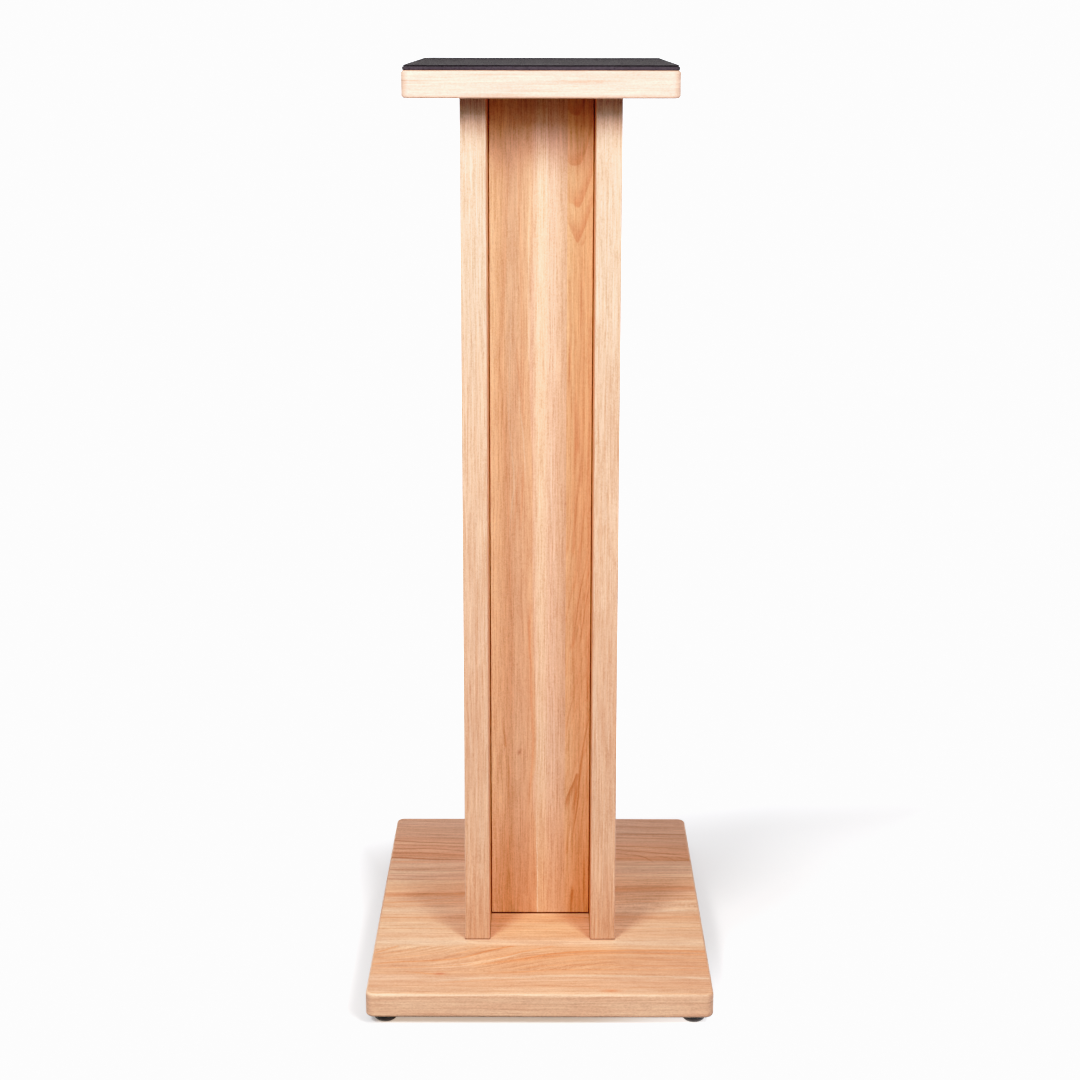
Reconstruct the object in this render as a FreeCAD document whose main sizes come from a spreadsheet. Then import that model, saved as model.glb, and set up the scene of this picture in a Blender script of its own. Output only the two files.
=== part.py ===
import FreeCAD, Part
import os
import Sketcher
from FreeCAD import Vector, Placement, Rotation

# Speaker stand of 25 mm boards.
# Frame: millimetres, +Z up, origin on the floor under the centre of the base,
# +X to the right and the front of the stand towards -Y.

os.makedirs("parts", exist_ok=True)
doc = FreeCAD.newDocument("speaker_stand")

# ---------------------------------------------------------------- dimensions
CELLS = [
    ("board_t", 25.0, "thickness of every board"),
    ("base_w", 339.0, "base plate, left to right"),
    ("base_d", 474.0, "base plate, front to back"),
    ("top_w", 253.0, "top plate, left to right"),
    ("top_d", 373.0, "top plate, front to back"),
    ("corner_r", 9.0, "rounding of the plates' upright corners"),
    ("edge_r", 3.0, "rounding of the plates' long edges"),
    ("upright_d", 217.0, "upright, front to back"),
    ("upright_len", 850.0, "upright, height"),
    ("upright_edge_r", 1.5, "rounding along the uprights"),
    ("upright_end_c", 0.8, "chamfer round the uprights' ends"),
    ("inner_w", 103.5, "clear width between the uprights"),
    ("panel_w", 102.1, "width of the front and rear panels"),
    ("panel_gap", 0.7, "gap round the panels"),
    ("panel_edge_r", 0.6, "rounding of the panels' edges"),
    ("recess", 67.0, "panels set back from the uprights' edges"),
    ("block_z", 60.0, "height of a spacer block"),
    ("block_off", 22.0, "end blocks stand off the plates"),
    ("block_fit", 0.1, "clearance at each end of a block"),
    ("foot_h", 9.5, "foot height"),
    ("foot_dia", 24.0, "foot diameter"),
    ("foot_round", 6.5, "rounding of the foot's lower edge"),
    ("foot_inset", 18.5, "foot centre in from the base's sides"),
    ("foot_rec_dia", 8.6, "recess for the screw head"),
    ("foot_rec_z", 4.5, "depth of that recess"),
    ("foot_bore", 4.4, "bore for the foot screw"),
    ("pad_t", 5.0, "foam pad thickness"),
    ("pad_in", 1.0, "foam pad inside the top plate's outline"),
    ("pad_corner_r", 8.0, "foam pad corner"),
    ("pad_edge_r", 0.8, "foam pad top edge"),
    ("bolt_dia", 5.9, "M6 bolt shank"),
    ("bolt_len", 40.0, "M6 bolt under the head"),
    ("bolt_head_dia", 11.0, "bolt head"),
    ("bolt_head_z", 3.4, "bolt head height"),
    ("bolt_hex", 4.0, "hexagon socket across flats"),
    ("bolt_hex_z", 2.2, "hexagon socket depth"),
    ("bolt_hole", 6.6, "bolt clearance hole"),
    ("bolt_y", 75.0, "bolts each side of the centre, along Y"),
    ("cbore_dia", 15.0, "counterbore for head and washer"),
    ("cbore_z", 7.0, "counterbore depth"),
    ("wash_dia", 12.0, "M6 washer"),
    ("wash_t", 1.6, "M6 washer thickness"),
    ("insert_dia", 10.0, "threaded insert over its thread"),
    ("insert_root", 8.6, "threaded insert thread root"),
    ("insert_bore", 6.2, "threaded insert bore"),
    ("insert_len", 18.0, "threaded insert length"),
    ("insert_hole", 10.2, "hole for the insert"),
    ("insert_hole_z", 22.0, "depth of that hole"),
    ("insert_set", 0.5, "insert set below the board's end"),
    ("dowel_dia", 7.9, "wooden dowel"),
    ("dowel_hole", 8.1, "dowel hole"),
    ("dowel_y", 32.0, "plate dowels each side of the centre, along Y"),
    ("dowel_plate_z", 13.0, "dowel hole in a plate"),
    ("dowel_end_z", 23.0, "dowel hole in an upright's end"),
    ("dowel_len", 34.0, "plate dowel length"),
    ("dowel_chamf", 0.8, "dowel chamfer"),
    ("side_hole_z", 12.0, "dowel and cam bolt holes in the uprights' faces"),
    ("side_dowel_len", 30.0, "block dowel length"),
    ("side_dowel_in", 20.0, "dowel hole in a block's end"),
    ("side_dowel_up", 14.0, "block dowel above the block's middle"),
    ("cam_dia", 14.8, "cam"),
    ("cam_hole", 15.1, "hole for the cam"),
    ("cam_z", 12.2, "cam height"),
    ("cam_hole_z", 12.6, "depth of the cam hole"),
    ("cam_in", 24.0, "cam axis in from the block's end"),
    ("cam_down", 12.0, "cam axis below the block's middle"),
    ("cam_axis", 8.0, "cam bolt axis below the block's rear face"),
    ("cambolt_dia", 6.0, "cam bolt shaft"),
    ("cambolt_hole", 8.0, "bore for the cam bolt in the block"),
    ("cambolt_thread", 4.8, "cam bolt thread core"),
    ("cambolt_pilot", 5.0, "pilot in the upright"),
    ("screw_dia", 4.0, "wood screw shank"),
    ("screw_hole", 4.3, "wood screw hole"),
    ("screw_head", 8.0, "wood screw head"),
    ("screw_rim", 0.3, "rim of the countersunk head"),
    ("rear_screw_len", 40.0, "rear panel screw"),
    ("front_screw_len", 45.0, "front panel screw"),
    ("rear_screw_x", 38.0, "rear panel screws each side of the centre"),
    ("rear_screw_up", 1.0, "rear panel screws above the block's middle"),
    ("front_screw_x", 12.0, "front panel screws each side of the centre"),
    ("front_screw_up", 14.0, "front panel screws above the block's middle"),
    ("sink_dia", 9.3, "countersink diameter"),
    ("foot_screw_len", 20.0, "foot screw under the head"),
    ("foot_screw_head", 7.4, "foot screw pan head"),
    ("foot_screw_head_z", 2.4, "pan head height"),
    ("foot_screw_pilot_z", 15.5, "pilot depth in the base"),
    ("foot_wash_dia", 8.2, "foot washer"),
    ("foot_wash_t", 0.8, "foot washer thickness"),
]

sheet = doc.addObject("Spreadsheet::Sheet", "Dims")
for row, (alias, number, note) in enumerate(CELLS, start=1):
    sheet.set("A%d" % row, note)
    sheet.set("B%d" % row, str(number))
    sheet.setAlias("B%d" % row, alias)
doc.recompute()


class Dim:
    """A length with its present value and the sheet expression that drives it."""

    def __init__(self, v, e):
        self.v = float(v)
        self.e = e

    @staticmethod
    def of(o):
        return o if isinstance(o, Dim) else Dim(o, repr(float(o)))

    def __add__(self, o):
        o = Dim.of(o)
        return Dim(self.v + o.v, "(%s + %s)" % (self.e, o.e))

    __radd__ = __add__

    def __sub__(self, o):
        o = Dim.of(o)
        return Dim(self.v - o.v, "(%s - %s)" % (self.e, o.e))

    def __rsub__(self, o):
        return Dim.of(o) - self

    def __mul__(self, k):
        return Dim(self.v * k, "(%s * %s)" % (self.e, repr(float(k))))

    __rmul__ = __mul__

    def __truediv__(self, k):
        return Dim(self.v / k, "(%s / %s)" % (self.e, repr(float(k))))

    def __neg__(self):
        return Dim(-self.v, "(0 - %s)" % self.e)


class Sizes:
    pass


d = Sizes()
for alias, number, note in CELLS:
    setattr(d, alias, Dim(number, "Dims.%s" % alias))
ZERO = Dim(0.0, "0")

# levels and positions that follow from the driving sizes
z_base = d.foot_h
z_col = d.foot_h + d.board_t
z_top = z_col + d.upright_len
z_pad = z_top + d.board_t
upright_x = d.inner_w / 2 + d.board_t / 2
block_d = d.upright_d - d.recess * 2 - d.board_t * 2
panel_len = d.upright_len - d.panel_gap * 2
panel_y = d.upright_d / 2 - d.recess - d.board_t / 2
foot_x = d.base_w / 2 - d.foot_inset
foot_y = d.base_d / 2 - d.foot_inset
block_mid = [
    z_col + d.block_off + d.block_z / 2,
    z_col + d.upright_len / 2,
    z_top - d.block_off - d.block_z / 2,
]


# ------------------------------------------------------------------- helpers
def plane(body, role):
    for feature in body.Origin.OriginFeatures:
        if feature.Role == role:
            return feature
    raise RuntimeError("no " + role)


def new_body(name):
    body = doc.addObject("PartDesign::Body", name)
    body.Label = name
    return body


def new_sketch(body, role, name, off=None):
    s = body.newObject("Sketcher::SketchObject", body.Name + "_" + name)
    s.AttachmentSupport = [(plane(body, role), "")]
    s.MapMode = "FlatFace"
    if off is not None:
        s.setExpression("AttachmentOffset.Base.z", off.e)
    return s


def fix_point(s, geo, pos, x, y):
    """Drive both coordinates of a sketch point from the sheet."""
    for kind, value, axis in (("DistanceX", x, -2), ("DistanceY", y, -1)):
        if abs(value.v) < 1e-9:
            s.addConstraint(Sketcher.Constraint("PointOnObject", geo, pos, axis))
        elif value.v > 0:
            i = s.addConstraint(Sketcher.Constraint(kind, -1, 1, geo, pos, value.v))
            s.setExpression("Constraints[%d]" % i, value.e)
        else:
            i = s.addConstraint(Sketcher.Constraint(kind, geo, pos, -1, 1, -value.v))
            s.setExpression("Constraints[%d]" % i, (-value).e)


def rectangle(s, w, l):
    """Rectangle centred on the sketch origin."""
    x, y = w.v / 2, l.v / 2
    c = [Vector(-x, -y, 0), Vector(x, -y, 0), Vector(x, y, 0), Vector(-x, y, 0)]
    g = [s.addGeometry(Part.LineSegment(c[k], c[(k + 1) % 4]), False) for k in range(4)]
    for k in range(4):
        s.addConstraint(Sketcher.Constraint("Coincident", g[k], 2, g[(k + 1) % 4], 1))
    s.addConstraint(Sketcher.Constraint("Horizontal", g[0]))
    s.addConstraint(Sketcher.Constraint("Horizontal", g[2]))
    s.addConstraint(Sketcher.Constraint("Vertical", g[1]))
    s.addConstraint(Sketcher.Constraint("Vertical", g[3]))
    s.addConstraint(Sketcher.Constraint("Symmetric", g[0], 1, g[2], 1, -1, 1))
    i = s.addConstraint(Sketcher.Constraint("DistanceX", g[0], 1, g[0], 2, w.v))
    s.renameConstraint(i, "width")
    s.setExpression("Constraints.width", w.e)
    i = s.addConstraint(Sketcher.Constraint("DistanceY", g[1], 1, g[1], 2, l.v))
    s.renameConstraint(i, "length")
    s.setExpression("Constraints.length", l.e)


def polygon(s, pts):
    """Closed outline through driven points."""
    n = len(pts)
    g = []
    for k in range(n):
        a, b = pts[k], pts[(k + 1) % n]
        g.append(s.addGeometry(Part.LineSegment(Vector(a[0].v, a[1].v, 0), Vector(b[0].v, b[1].v, 0)), False))
    for k in range(n):
        s.addConstraint(Sketcher.Constraint("Coincident", g[k], 2, g[(k + 1) % n], 1))
    for k in range(n):
        fix_point(s, g[k], 1, pts[k][0], pts[k][1])


def circle(s, x, y, dia):
    g = s.addGeometry(Part.Circle(Vector(x.v, y.v, 0), Vector(0, 0, 1), dia.v / 2), False)
    fix_point(s, g, 3, x, y)
    i = s.addConstraint(Sketcher.Constraint("Diameter", g, dia.v))
    s.setExpression("Constraints[%d]" % i, dia.e)
    return g


def pad(body, s, length, name="pad"):
    f = body.newObject("PartDesign::Pad", body.Name + "_" + name)
    f.Profile = s
    f.setExpression("Length", length.e)
    s.Visibility = False
    doc.recompute()
    return f


def cut(body, s, depth, name, flip=False, solids=1):
    """Pocket from the sketch; flip turns it to the sketch's own +normal side."""
    before = body.Shape.Volume
    f = body.newObject("PartDesign::Pocket", body.Name + "_" + name)
    f.Profile = s
    f.Reversed = flip
    f.setExpression("Length", depth.e)
    s.Visibility = False
    doc.recompute()
    lost = before - body.Shape.Volume
    if lost < 1.0:
        raise RuntimeError("%s removes nothing (%.3f mm3)" % (f.Name, lost))
    return f


def revolve(body, s, name="revolution"):
    f = body.newObject("PartDesign::Revolution", body.Name + "_" + name)
    f.Profile = s
    f.ReferenceAxis = (s, ["V_Axis"])
    f.Angle = 360.0
    s.Visibility = False
    doc.recompute()
    return f


def edges_where(shape, test):
    return ["Edge%d" % (i + 1) for i, e in enumerate(shape.Edges) if test(e)]


def fillet(body, base, names, radius, name):
    f = body.newObject("PartDesign::Fillet", body.Name + "_" + name)
    f.Base = (base, names)
    f.Radius = radius.v
    f.setExpression("Radius", radius.e)
    doc.recompute()
    return f


def chamfer(body, base, names, size, name):
    f = body.newObject("PartDesign::Chamfer", body.Name + "_" + name)
    f.Base = (base, names)
    f.Size = size.v
    f.setExpression("Size", size.e)
    doc.recompute()
    return f


def straight_along(e, axis):
    if not isinstance(e.Curve, Part.Line):
        return False
    t = e.tangentAt(e.FirstParameter)
    return abs(abs(getattr(t, axis)) - 1) < 1e-6


def put(obj, x, y, z, rot=None):
    """Place an object; its position follows the sheet."""
    obj.Placement = Placement(Vector(x.v, y.v, z.v), rot if rot is not None else Rotation())
    for axis, value in (("x", x), ("y", y), ("z", z)):
        if abs(value.v) > 1e-9:
            obj.setExpression("Placement.Base.%s" % axis, value.e)


def group(name, members):
    """Identical pieces as separate solids of one sub-part."""
    c = doc.addObject("Part::Compound", name)
    c.Label = name
    c.Links = members
    for m in members:
        m.Visibility = False
    return c


FOUR = [(-1, -1), (1, -1), (-1, 1), (1, 1)]
nodes = []
expect = {}


def keep(obj, solids=1):
    nodes.append(obj)
    expect[obj.Name] = solids


# -------------------------------------------------------------------- plates
def plate(name, w, l):
    """Flat board centred on its own origin with its underside at z = 0."""
    body = new_body(name)
    s = new_sketch(body, "XY_Plane", "outline")
    rectangle(s, w, l)
    f = pad(body, s, d.board_t)
    f = fillet(body, f, edges_where(f.Shape, lambda e: straight_along(e, "z")), d.corner_r, "corners")
    t = d.board_t.v

    def rim(e):
        zs = [v.Z for v in e.Vertexes]
        return max(zs) - min(zs) < 1e-6 and (abs(zs[0]) < 1e-6 or abs(zs[0] - t) < 1e-6)

    fillet(body, f, edges_where(f.Shape, rim), d.edge_r, "edges")
    return body


def plate_holes(body, outside_down):
    """Bolt holes with a counterbore on the outer face, dowel holes on the inner face."""
    outer = ZERO if outside_down else d.board_t
    inner = d.board_t if outside_down else ZERO
    s = new_sketch(body, "XY_Plane", "counterbores", outer)
    for sx, sy in FOUR:
        circle(s, upright_x * sx, d.bolt_y * sy, d.cbore_dia)
    cut(body, s, d.cbore_z, "counterbore", flip=outside_down)
    s = new_sketch(body, "XY_Plane", "bolt_holes", outer)
    for sx, sy in FOUR:
        circle(s, upright_x * sx, d.bolt_y * sy, d.bolt_hole)
    cut(body, s, d.board_t, "bolt_hole", flip=outside_down)
    s = new_sketch(body, "XY_Plane", "dowel_holes", inner)
    for sx, sy in FOUR:
        circle(s, upright_x * sx, d.dowel_y * sy, d.dowel_hole)
    cut(body, s, d.dowel_plate_z, "dowel_hole", flip=not outside_down)


base = plate("base_plate", d.base_w, d.base_d)
plate_holes(base, True)
s = new_sketch(base, "XY_Plane", "foot_pilots")
for sx, sy in FOUR:
    circle(s, foot_x * sx, foot_y * sy, d.screw_hole)
cut(base, s, d.foot_screw_pilot_z, "foot_pilot", flip=True)
put(base, ZERO, ZERO, z_base)
keep(base)

top = plate("top_plate", d.top_w, d.top_d)
plate_holes(top, False)
put(top, ZERO, ZERO, z_top)
keep(top)


# ------------------------------------------------------------------ uprights
def upright(name, side):
    """Side board; side is +1 on the right, -1 on the left. Origin at its lower end."""
    body = new_body(name)
    s = new_sketch(body, "XY_Plane", "section")
    rectangle(s, d.board_t, d.upright_d)
    f = pad(body, s, d.upright_len)
    f = fillet(body, f, edges_where(f.Shape, lambda e: straight_along(e, "z")), d.upright_edge_r, "edges")
    rims = edges_where(f.Shape, lambda e: max(v.Z for v in e.Vertexes) - min(v.Z for v in e.Vertexes) < 1e-6)
    chamfer(body, f, rims, d.upright_end_c, "ends")
    for level, label, flip in ((ZERO, "lower", True), (d.upright_len, "upper", False)):
        s = new_sketch(body, "XY_Plane", label + "_inserts", level)
        for sy in (-1, 1):
            circle(s, ZERO, d.bolt_y * sy, d.insert_hole)
        cut(body, s, d.insert_hole_z, label + "_insert_hole", flip=flip)
        s = new_sketch(body, "XY_Plane", label + "_dowels", level)
        for sy in (-1, 1):
            circle(s, ZERO, d.dowel_y * sy, d.dowel_hole)
        cut(body, s, d.dowel_end_z, label + "_dowel_hole", flip=flip)
    face = d.board_t / 2 * (-side)
    rear = block_d / 2
    s = new_sketch(body, "YZ_Plane", "face_dowels", face)
    for m in block_mid:
        circle(s, ZERO, m - z_col + d.side_dowel_up, d.dowel_hole)
    cut(body, s, d.side_hole_z, "face_dowel_hole", flip=side > 0)
    s = new_sketch(body, "YZ_Plane", "face_pilots", face)
    for m in block_mid:
        circle(s, rear - d.cam_axis, m - z_col - d.cam_down, d.cambolt_pilot)
    cut(body, s, d.side_hole_z, "face_pilot", flip=side > 0)
    put(body, upright_x * side, ZERO, z_col)
    return body


keep(upright("left_upright", -1))
keep(upright("right_upright", 1))


# -------------------------------------------------------------------- panels
def panel(name, side):
    """Panel between the uprights; side is -1 at the front, +1 at the back."""
    body = new_body(name)
    s = new_sketch(body, "XY_Plane", "section")
    rectangle(s, d.panel_w, d.board_t)
    f = pad(body, s, panel_len)
    out = d.board_t.v / 2 * side
    # the four edges round the face that shows
    f = fillet(
        body, f,
        edges_where(f.Shape, lambda e: all(abs(v.Y - out) < 1e-6 for v in e.Vertexes)),
        d.panel_edge_r, "edges",
    )
    low = z_col + d.panel_gap
    inside = d.board_t / 2 * (-side)
    if side < 0:
        s = new_sketch(body, "XZ_Plane", "pilots", -inside)
        for m in block_mid:
            for sx in (-1, 1):
                circle(s, d.front_screw_x * sx, m - low + d.front_screw_up, d.screw_hole)
        cut(body, s, d.front_screw_len - block_d + 1.5, "pilot", flip=True)
    else:
        s = new_sketch(body, "XZ_Plane", "screw_holes", -(d.board_t / 2))
        for m in block_mid:
            for sx in (-1, 1):
                circle(s, d.rear_screw_x * sx, m - low + d.rear_screw_up, d.screw_hole)
        f = cut(body, s, d.board_t, "screw_hole", flip=True)
        r = d.screw_hole.v / 2
        names = edges_where(
            f.Shape,
            lambda e: isinstance(e.Curve, Part.Circle) and abs(e.Curve.Radius - r) < 1e-6
            and abs(e.CenterOfMass.y - out) < 1e-6,
        )
        chamfer(body, f, names, (d.sink_dia - d.screw_hole) / 2, "countersinks")
    put(body, ZERO, panel_y * side, low)
    return body


keep(panel("front_panel", -1))
keep(panel("rear_panel", 1))


# ------------------------------------------------------------- spacer blocks
def block(name, mid):
    """Block between the uprights, centred on its own origin."""
    body = new_body(name)
    s = new_sketch(body, "XY_Plane", "section", -(d.block_z / 2))
    rectangle(s, d.inner_w - d.block_fit * 2, block_d)
    pad(body, s, d.block_z)
    end = d.inner_w / 2 - d.block_fit
    rear = block_d / 2
    for side in (-1, 1):
        label = "left" if side < 0 else "right"
        s = new_sketch(body, "YZ_Plane", label + "_dowel", end * side)
        circle(s, ZERO, d.side_dowel_up, d.dowel_hole)
        cut(body, s, d.side_dowel_in, label + "_dowel_hole", flip=side < 0)
        s = new_sketch(body, "YZ_Plane", label + "_cam_bolt", end * side)
        circle(s, rear - d.cam_axis, -d.cam_down, d.cambolt_hole)
        cut(body, s, d.cam_in, label + "_cam_bolt_bore", flip=side < 0)
    s = new_sketch(body, "XZ_Plane", "cams", -rear)
    for side in (-1, 1):
        circle(s, (d.inner_w / 2 - d.cam_in) * side, -d.cam_down, d.cam_hole)
    cut(body, s, d.cam_hole_z, "cam_hole", flip=True)
    s = new_sketch(body, "XZ_Plane", "rear_pilots", -rear)
    for side in (-1, 1):
        circle(s, d.rear_screw_x * side, d.rear_screw_up, d.screw_hole)
    cut(body, s, d.rear_screw_len - d.board_t + 1.5, "rear_pilot", flip=True)
    s = new_sketch(body, "XZ_Plane", "front_screw_holes", -rear)
    for side in (-1, 1):
        circle(s, d.front_screw_x * side, d.front_screw_up, d.screw_hole)
    f = cut(body, s, block_d, "front_screw_hole", flip=True)
    r = d.screw_hole.v / 2
    names = edges_where(
        f.Shape,
        lambda e: isinstance(e.Curve, Part.Circle) and abs(e.Curve.Radius - r) < 1e-6
        and abs(e.CenterOfMass.y - rear.v) < 1e-6 and abs(abs(e.CenterOfMass.x) - d.front_screw_x.v) < 0.5,
    )
    chamfer(body, f, names, (d.sink_dia - d.screw_hole) / 2, "countersinks")
    put(body, ZERO, ZERO, mid)
    return body


for label, mid in zip(("lower_block", "middle_block", "upper_block"), block_mid):
    keep(block(label, mid))


# ------------------------------------------------------------------ foam pad
foam = new_body("foam_pad")
s = new_sketch(foam, "XY_Plane", "outline")
rectangle(s, d.top_w - d.pad_in * 2, d.top_d - d.pad_in * 2)
f = pad(foam, s, d.pad_t)
f = fillet(foam, f, edges_where(f.Shape, lambda e: straight_along(e, "z")), d.pad_corner_r, "corners")
fillet(
    foam, f,
    edges_where(f.Shape, lambda e: all(abs(v.Z - d.pad_t.v) < 1e-6 for v in e.Vertexes)),
    d.pad_edge_r, "edges",
)
put(foam, ZERO, ZERO, z_pad)
keep(foam)


# ---------------------------------------------------------------------- feet
def foot(name, sx, sy):
    """Domed rubber foot: flat contact ring, stepped bore for washer and screw."""
    body = new_body(name)
    s = new_sketch(body, "XZ_Plane", "profile")
    ro, rr, rb = d.foot_dia / 2, d.foot_rec_dia / 2, d.foot_bore / 2
    polygon(s, [
        (rr, ZERO), (ro, ZERO), (ro, d.foot_h), (rb, d.foot_h), (rb, d.foot_rec_z), (rr, d.foot_rec_z),
    ])
    f = revolve(body, s)

    def ring(e, r, z):
        return isinstance(e.Curve, Part.Circle) and abs(e.Curve.Radius - r) < 1e-6 and abs(e.Curve.Center.z - z) < 1e-6

    fillet(body, f, edges_where(f.Shape, lambda e: ring(e, ro.v, 0.0)), d.foot_round, "dome")
    put(body, foot_x * sx, foot_y * sy, ZERO)
    return body


for sx, sy in FOUR:
    keep(foot("%s_%s_foot" % ("front" if sy < 0 else "rear", "left" if sx < 0 else "right"), sx, sy))


# ------------------------------------------------------------------ hardware
DOWN = Rotation(Vector(1, 0, 0), 180)
ALONG_PLUS_Y = Rotation(Vector(1, 0, 0), -90)   # turned piece's +Z goes to +Y


def turned(name, pts, label="profile"):
    """Body turned about its own Z axis from a driven outline of (radius, z) points."""
    body = new_body(name)
    s = new_sketch(body, "XZ_Plane", label)
    polygon(s, pts)
    revolve(body, s)
    return body


def bolt(name, x, y, z, rot=None):
    """Socket bolt: underside of the head at z = 0, shank towards +Z."""
    rs, rh, hh = d.bolt_dia / 2, d.bolt_head_dia / 2, d.bolt_head_z
    body = turned(name, [
        (ZERO, -hh), (rh - 1.4, -hh), (rh - 0.3, -hh + 1.2), (rh, -hh + 2.2), (rh, ZERO),
        (rs, ZERO), (rs, d.bolt_len - 0.8), (rs - 0.8, d.bolt_len), (ZERO, d.bolt_len),
    ])
    s = new_sketch(body, "XY_Plane", "socket", -hh)
    af = d.bolt_hex
    k = 3 ** -0.5
    polygon(s, [
        (af * k, ZERO), (af * (k / 2), af / 2), (-(af * (k / 2)), af / 2),
        (-(af * k), ZERO), (-(af * (k / 2)), -(af / 2)), (af * (k / 2), -(af / 2)),
    ])
    cut(body, s, d.bolt_hex_z, "socket_cut", flip=True)
    put(body, x, y, z, rot)
    return body


def washer(name, dia, bore, thick, x, y, z):
    """Flat washer with its underside at z."""
    outer = doc.addObject("Part::Cylinder", name + "_disc")
    outer.setExpression("Radius", (dia / 2).e)
    outer.setExpression("Height", thick.e)
    inner = doc.addObject("Part::Cylinder", name + "_bore")
    inner.setExpression("Radius", (bore / 2).e)
    inner.setExpression("Height", (thick + 2).e)
    inner.Placement = Placement(Vector(0, 0, -1), Rotation())
    c = doc.addObject("Part::Cut", name)
    c.Base = outer
    c.Tool = inner
    put(c, x, y, z)
    return c


def insert(name, x, y, z, rot=None):
    """Threaded insert: open end at z = 0, body towards +Z, ridges for its outer thread."""
    ro, rr, rb, ln = d.insert_dia / 2, d.insert_root / 2, d.insert_bore / 2, d.insert_len
    pts = [(rb, ZERO), (rr, ZERO)]
    n = 5
    for k in range(n):
        a = ln * ((k + 0.15) / n)
        pts += [(rr, a), (ro, a + 1.0), (ro, a + 1.4), (rr, a + 2.4)]
    pts += [(rr, ln), (rb, ln)]
    body = turned(name, pts)
    put(body, x, y, z, rot)
    return body


def dowel(name, length, x, y, z, rot=None):
    """Wooden dowel along its own +Z with chamfered ends."""
    r, c = d.dowel_dia / 2, d.dowel_chamf
    body = turned(name, [
        (ZERO, ZERO), (r - c, ZERO), (r, c), (r, length - c), (r - c, length), (ZERO, length),
    ])
    put(body, x, y, z, rot)
    return body


def countersunk(name, length, x, y, z, rot=None):
    """Countersunk wood screw: top of the head at z = 0, point towards +Z."""
    rs, rh = d.screw_dia / 2, d.screw_head / 2
    cone = rh - rs
    tip = 4.0
    body = turned(name, [
        (ZERO, ZERO), (rh, ZERO), (rh, d.screw_rim), (rs, d.screw_rim + cone),
        (rs, length - tip), (ZERO + 0.4, length), (ZERO, length),
    ])
    # cross recess
    s = new_sketch(body, "XY_Plane", "recess")
    a, b = Dim.of(2.3), Dim.of(0.55)
    polygon(s, [
        (b, b), (a, b), (a, -b), (b, -b), (b, -a), (-b, -a),
        (-b, -b), (-a, -b), (-a, b), (-b, b), (-b, a), (b, a),
    ])
    cut(body, s, Dim.of(1.6), "recess_cut", flip=True)
    put(body, x, y, z, rot)
    return body


# base: bolts, washers, inserts and dowels
z_seat = z_base + d.cbore_z            # floor of the counterbores
z_head = z_seat - d.wash_t
keep(group("base_bolts", [
    bolt("base_bolt_%d" % k, upright_x * sx, d.bolt_y * sy, z_head) for k, (sx, sy) in enumerate(FOUR)]), 4)
keep(group("base_washers", [
    washer("base_washer_%d" % k, d.wash_dia, d.bolt_hole, d.wash_t, upright_x * sx, d.bolt_y * sy, z_head)
    for k, (sx, sy) in enumerate(FOUR)]), 4)
keep(group("lower_inserts", [
    insert("lower_insert_%d" % k, upright_x * sx, d.bolt_y * sy, z_col + d.insert_set)
    for k, (sx, sy) in enumerate(FOUR)]), 4)
keep(group("base_dowels", [
    dowel("base_dowel_%d" % k, d.dowel_len, upright_x * sx, d.dowel_y * sy, z_col - d.dowel_plate_z + 0.5)
    for k, (sx, sy) in enumerate(FOUR)]), 4)

# top: the same, upside down, under the pad
z_seat_top = z_pad - d.cbore_z
z_head_top = z_seat_top + d.wash_t
keep(group("top_bolts", [
    bolt("top_bolt_%d" % k, upright_x * sx, d.bolt_y * sy, z_head_top, DOWN)
    for k, (sx, sy) in enumerate(FOUR)]), 4)
keep(group("top_washers", [
    washer("top_washer_%d" % k, d.wash_dia, d.bolt_hole, d.wash_t, upright_x * sx, d.bolt_y * sy, z_seat_top)
    for k, (sx, sy) in enumerate(FOUR)]), 4)
keep(group("upper_inserts", [
    insert("upper_insert_%d" % k, upright_x * sx, d.bolt_y * sy, z_top - d.insert_set, DOWN)
    for k, (sx, sy) in enumerate(FOUR)]), 4)
keep(group("top_dowels", [
    dowel("top_dowel_%d" % k, d.dowel_len, upright_x * sx, d.dowel_y * sy,
          z_top + d.dowel_plate_z - 0.5 - d.dowel_len)
    for k, (sx, sy) in enumerate(FOUR)]), 4)

# blocks to uprights: dowels, cam bolts and cams
SIX = [(side, mid) for mid in block_mid for side in (-1, 1)]
ALONG = {1: Rotation(Vector(0, 1, 0), 90), -1: Rotation(Vector(0, 1, 0), -90)}   # +Z goes outwards along X
keep(group("block_dowels", [
    dowel("block_dowel_%d" % k, d.side_dowel_len,
          (d.inner_w / 2 + d.side_hole_z - 0.8 - d.side_dowel_len) * side, ZERO, mid + d.side_dowel_up, ALONG[side])
    for k, (side, mid) in enumerate(SIX)]), 6)


def cam_bolt(name, side, mid):
    """Connecting bolt: ball head in the cam, collar on the upright's face, thread in the pilot."""
    rs, rt = d.cambolt_dia / 2, d.cambolt_thread / 2
    reach = d.cam_in
    body = turned(name, [
        (ZERO, Dim.of(-3.0)), (Dim.of(2.2), Dim.of(-3.0)), (Dim.of(3.2), Dim.of(-1.8)), (Dim.of(3.2), Dim.of(1.2)),
        (Dim.of(2.0), Dim.of(2.0)), (Dim.of(2.0), Dim.of(7.4)), (rs, Dim.of(8.6)), (rs, reach),
        (rt, reach), (rt, reach + d.side_hole_z - 2.0), (rt - 1.2, reach + d.side_hole_z - 0.8),
        (ZERO, reach + d.side_hole_z - 0.8),
    ])
    put(body, (d.inner_w / 2 - d.cam_in) * side, block_d / 2 - d.cam_axis, mid - d.cam_down, ALONG[side])
    return body


keep(group("cam_bolts", [cam_bolt("cam_bolt_%d" % k, side, mid) for k, (side, mid) in enumerate(SIX)]), 6)


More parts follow.
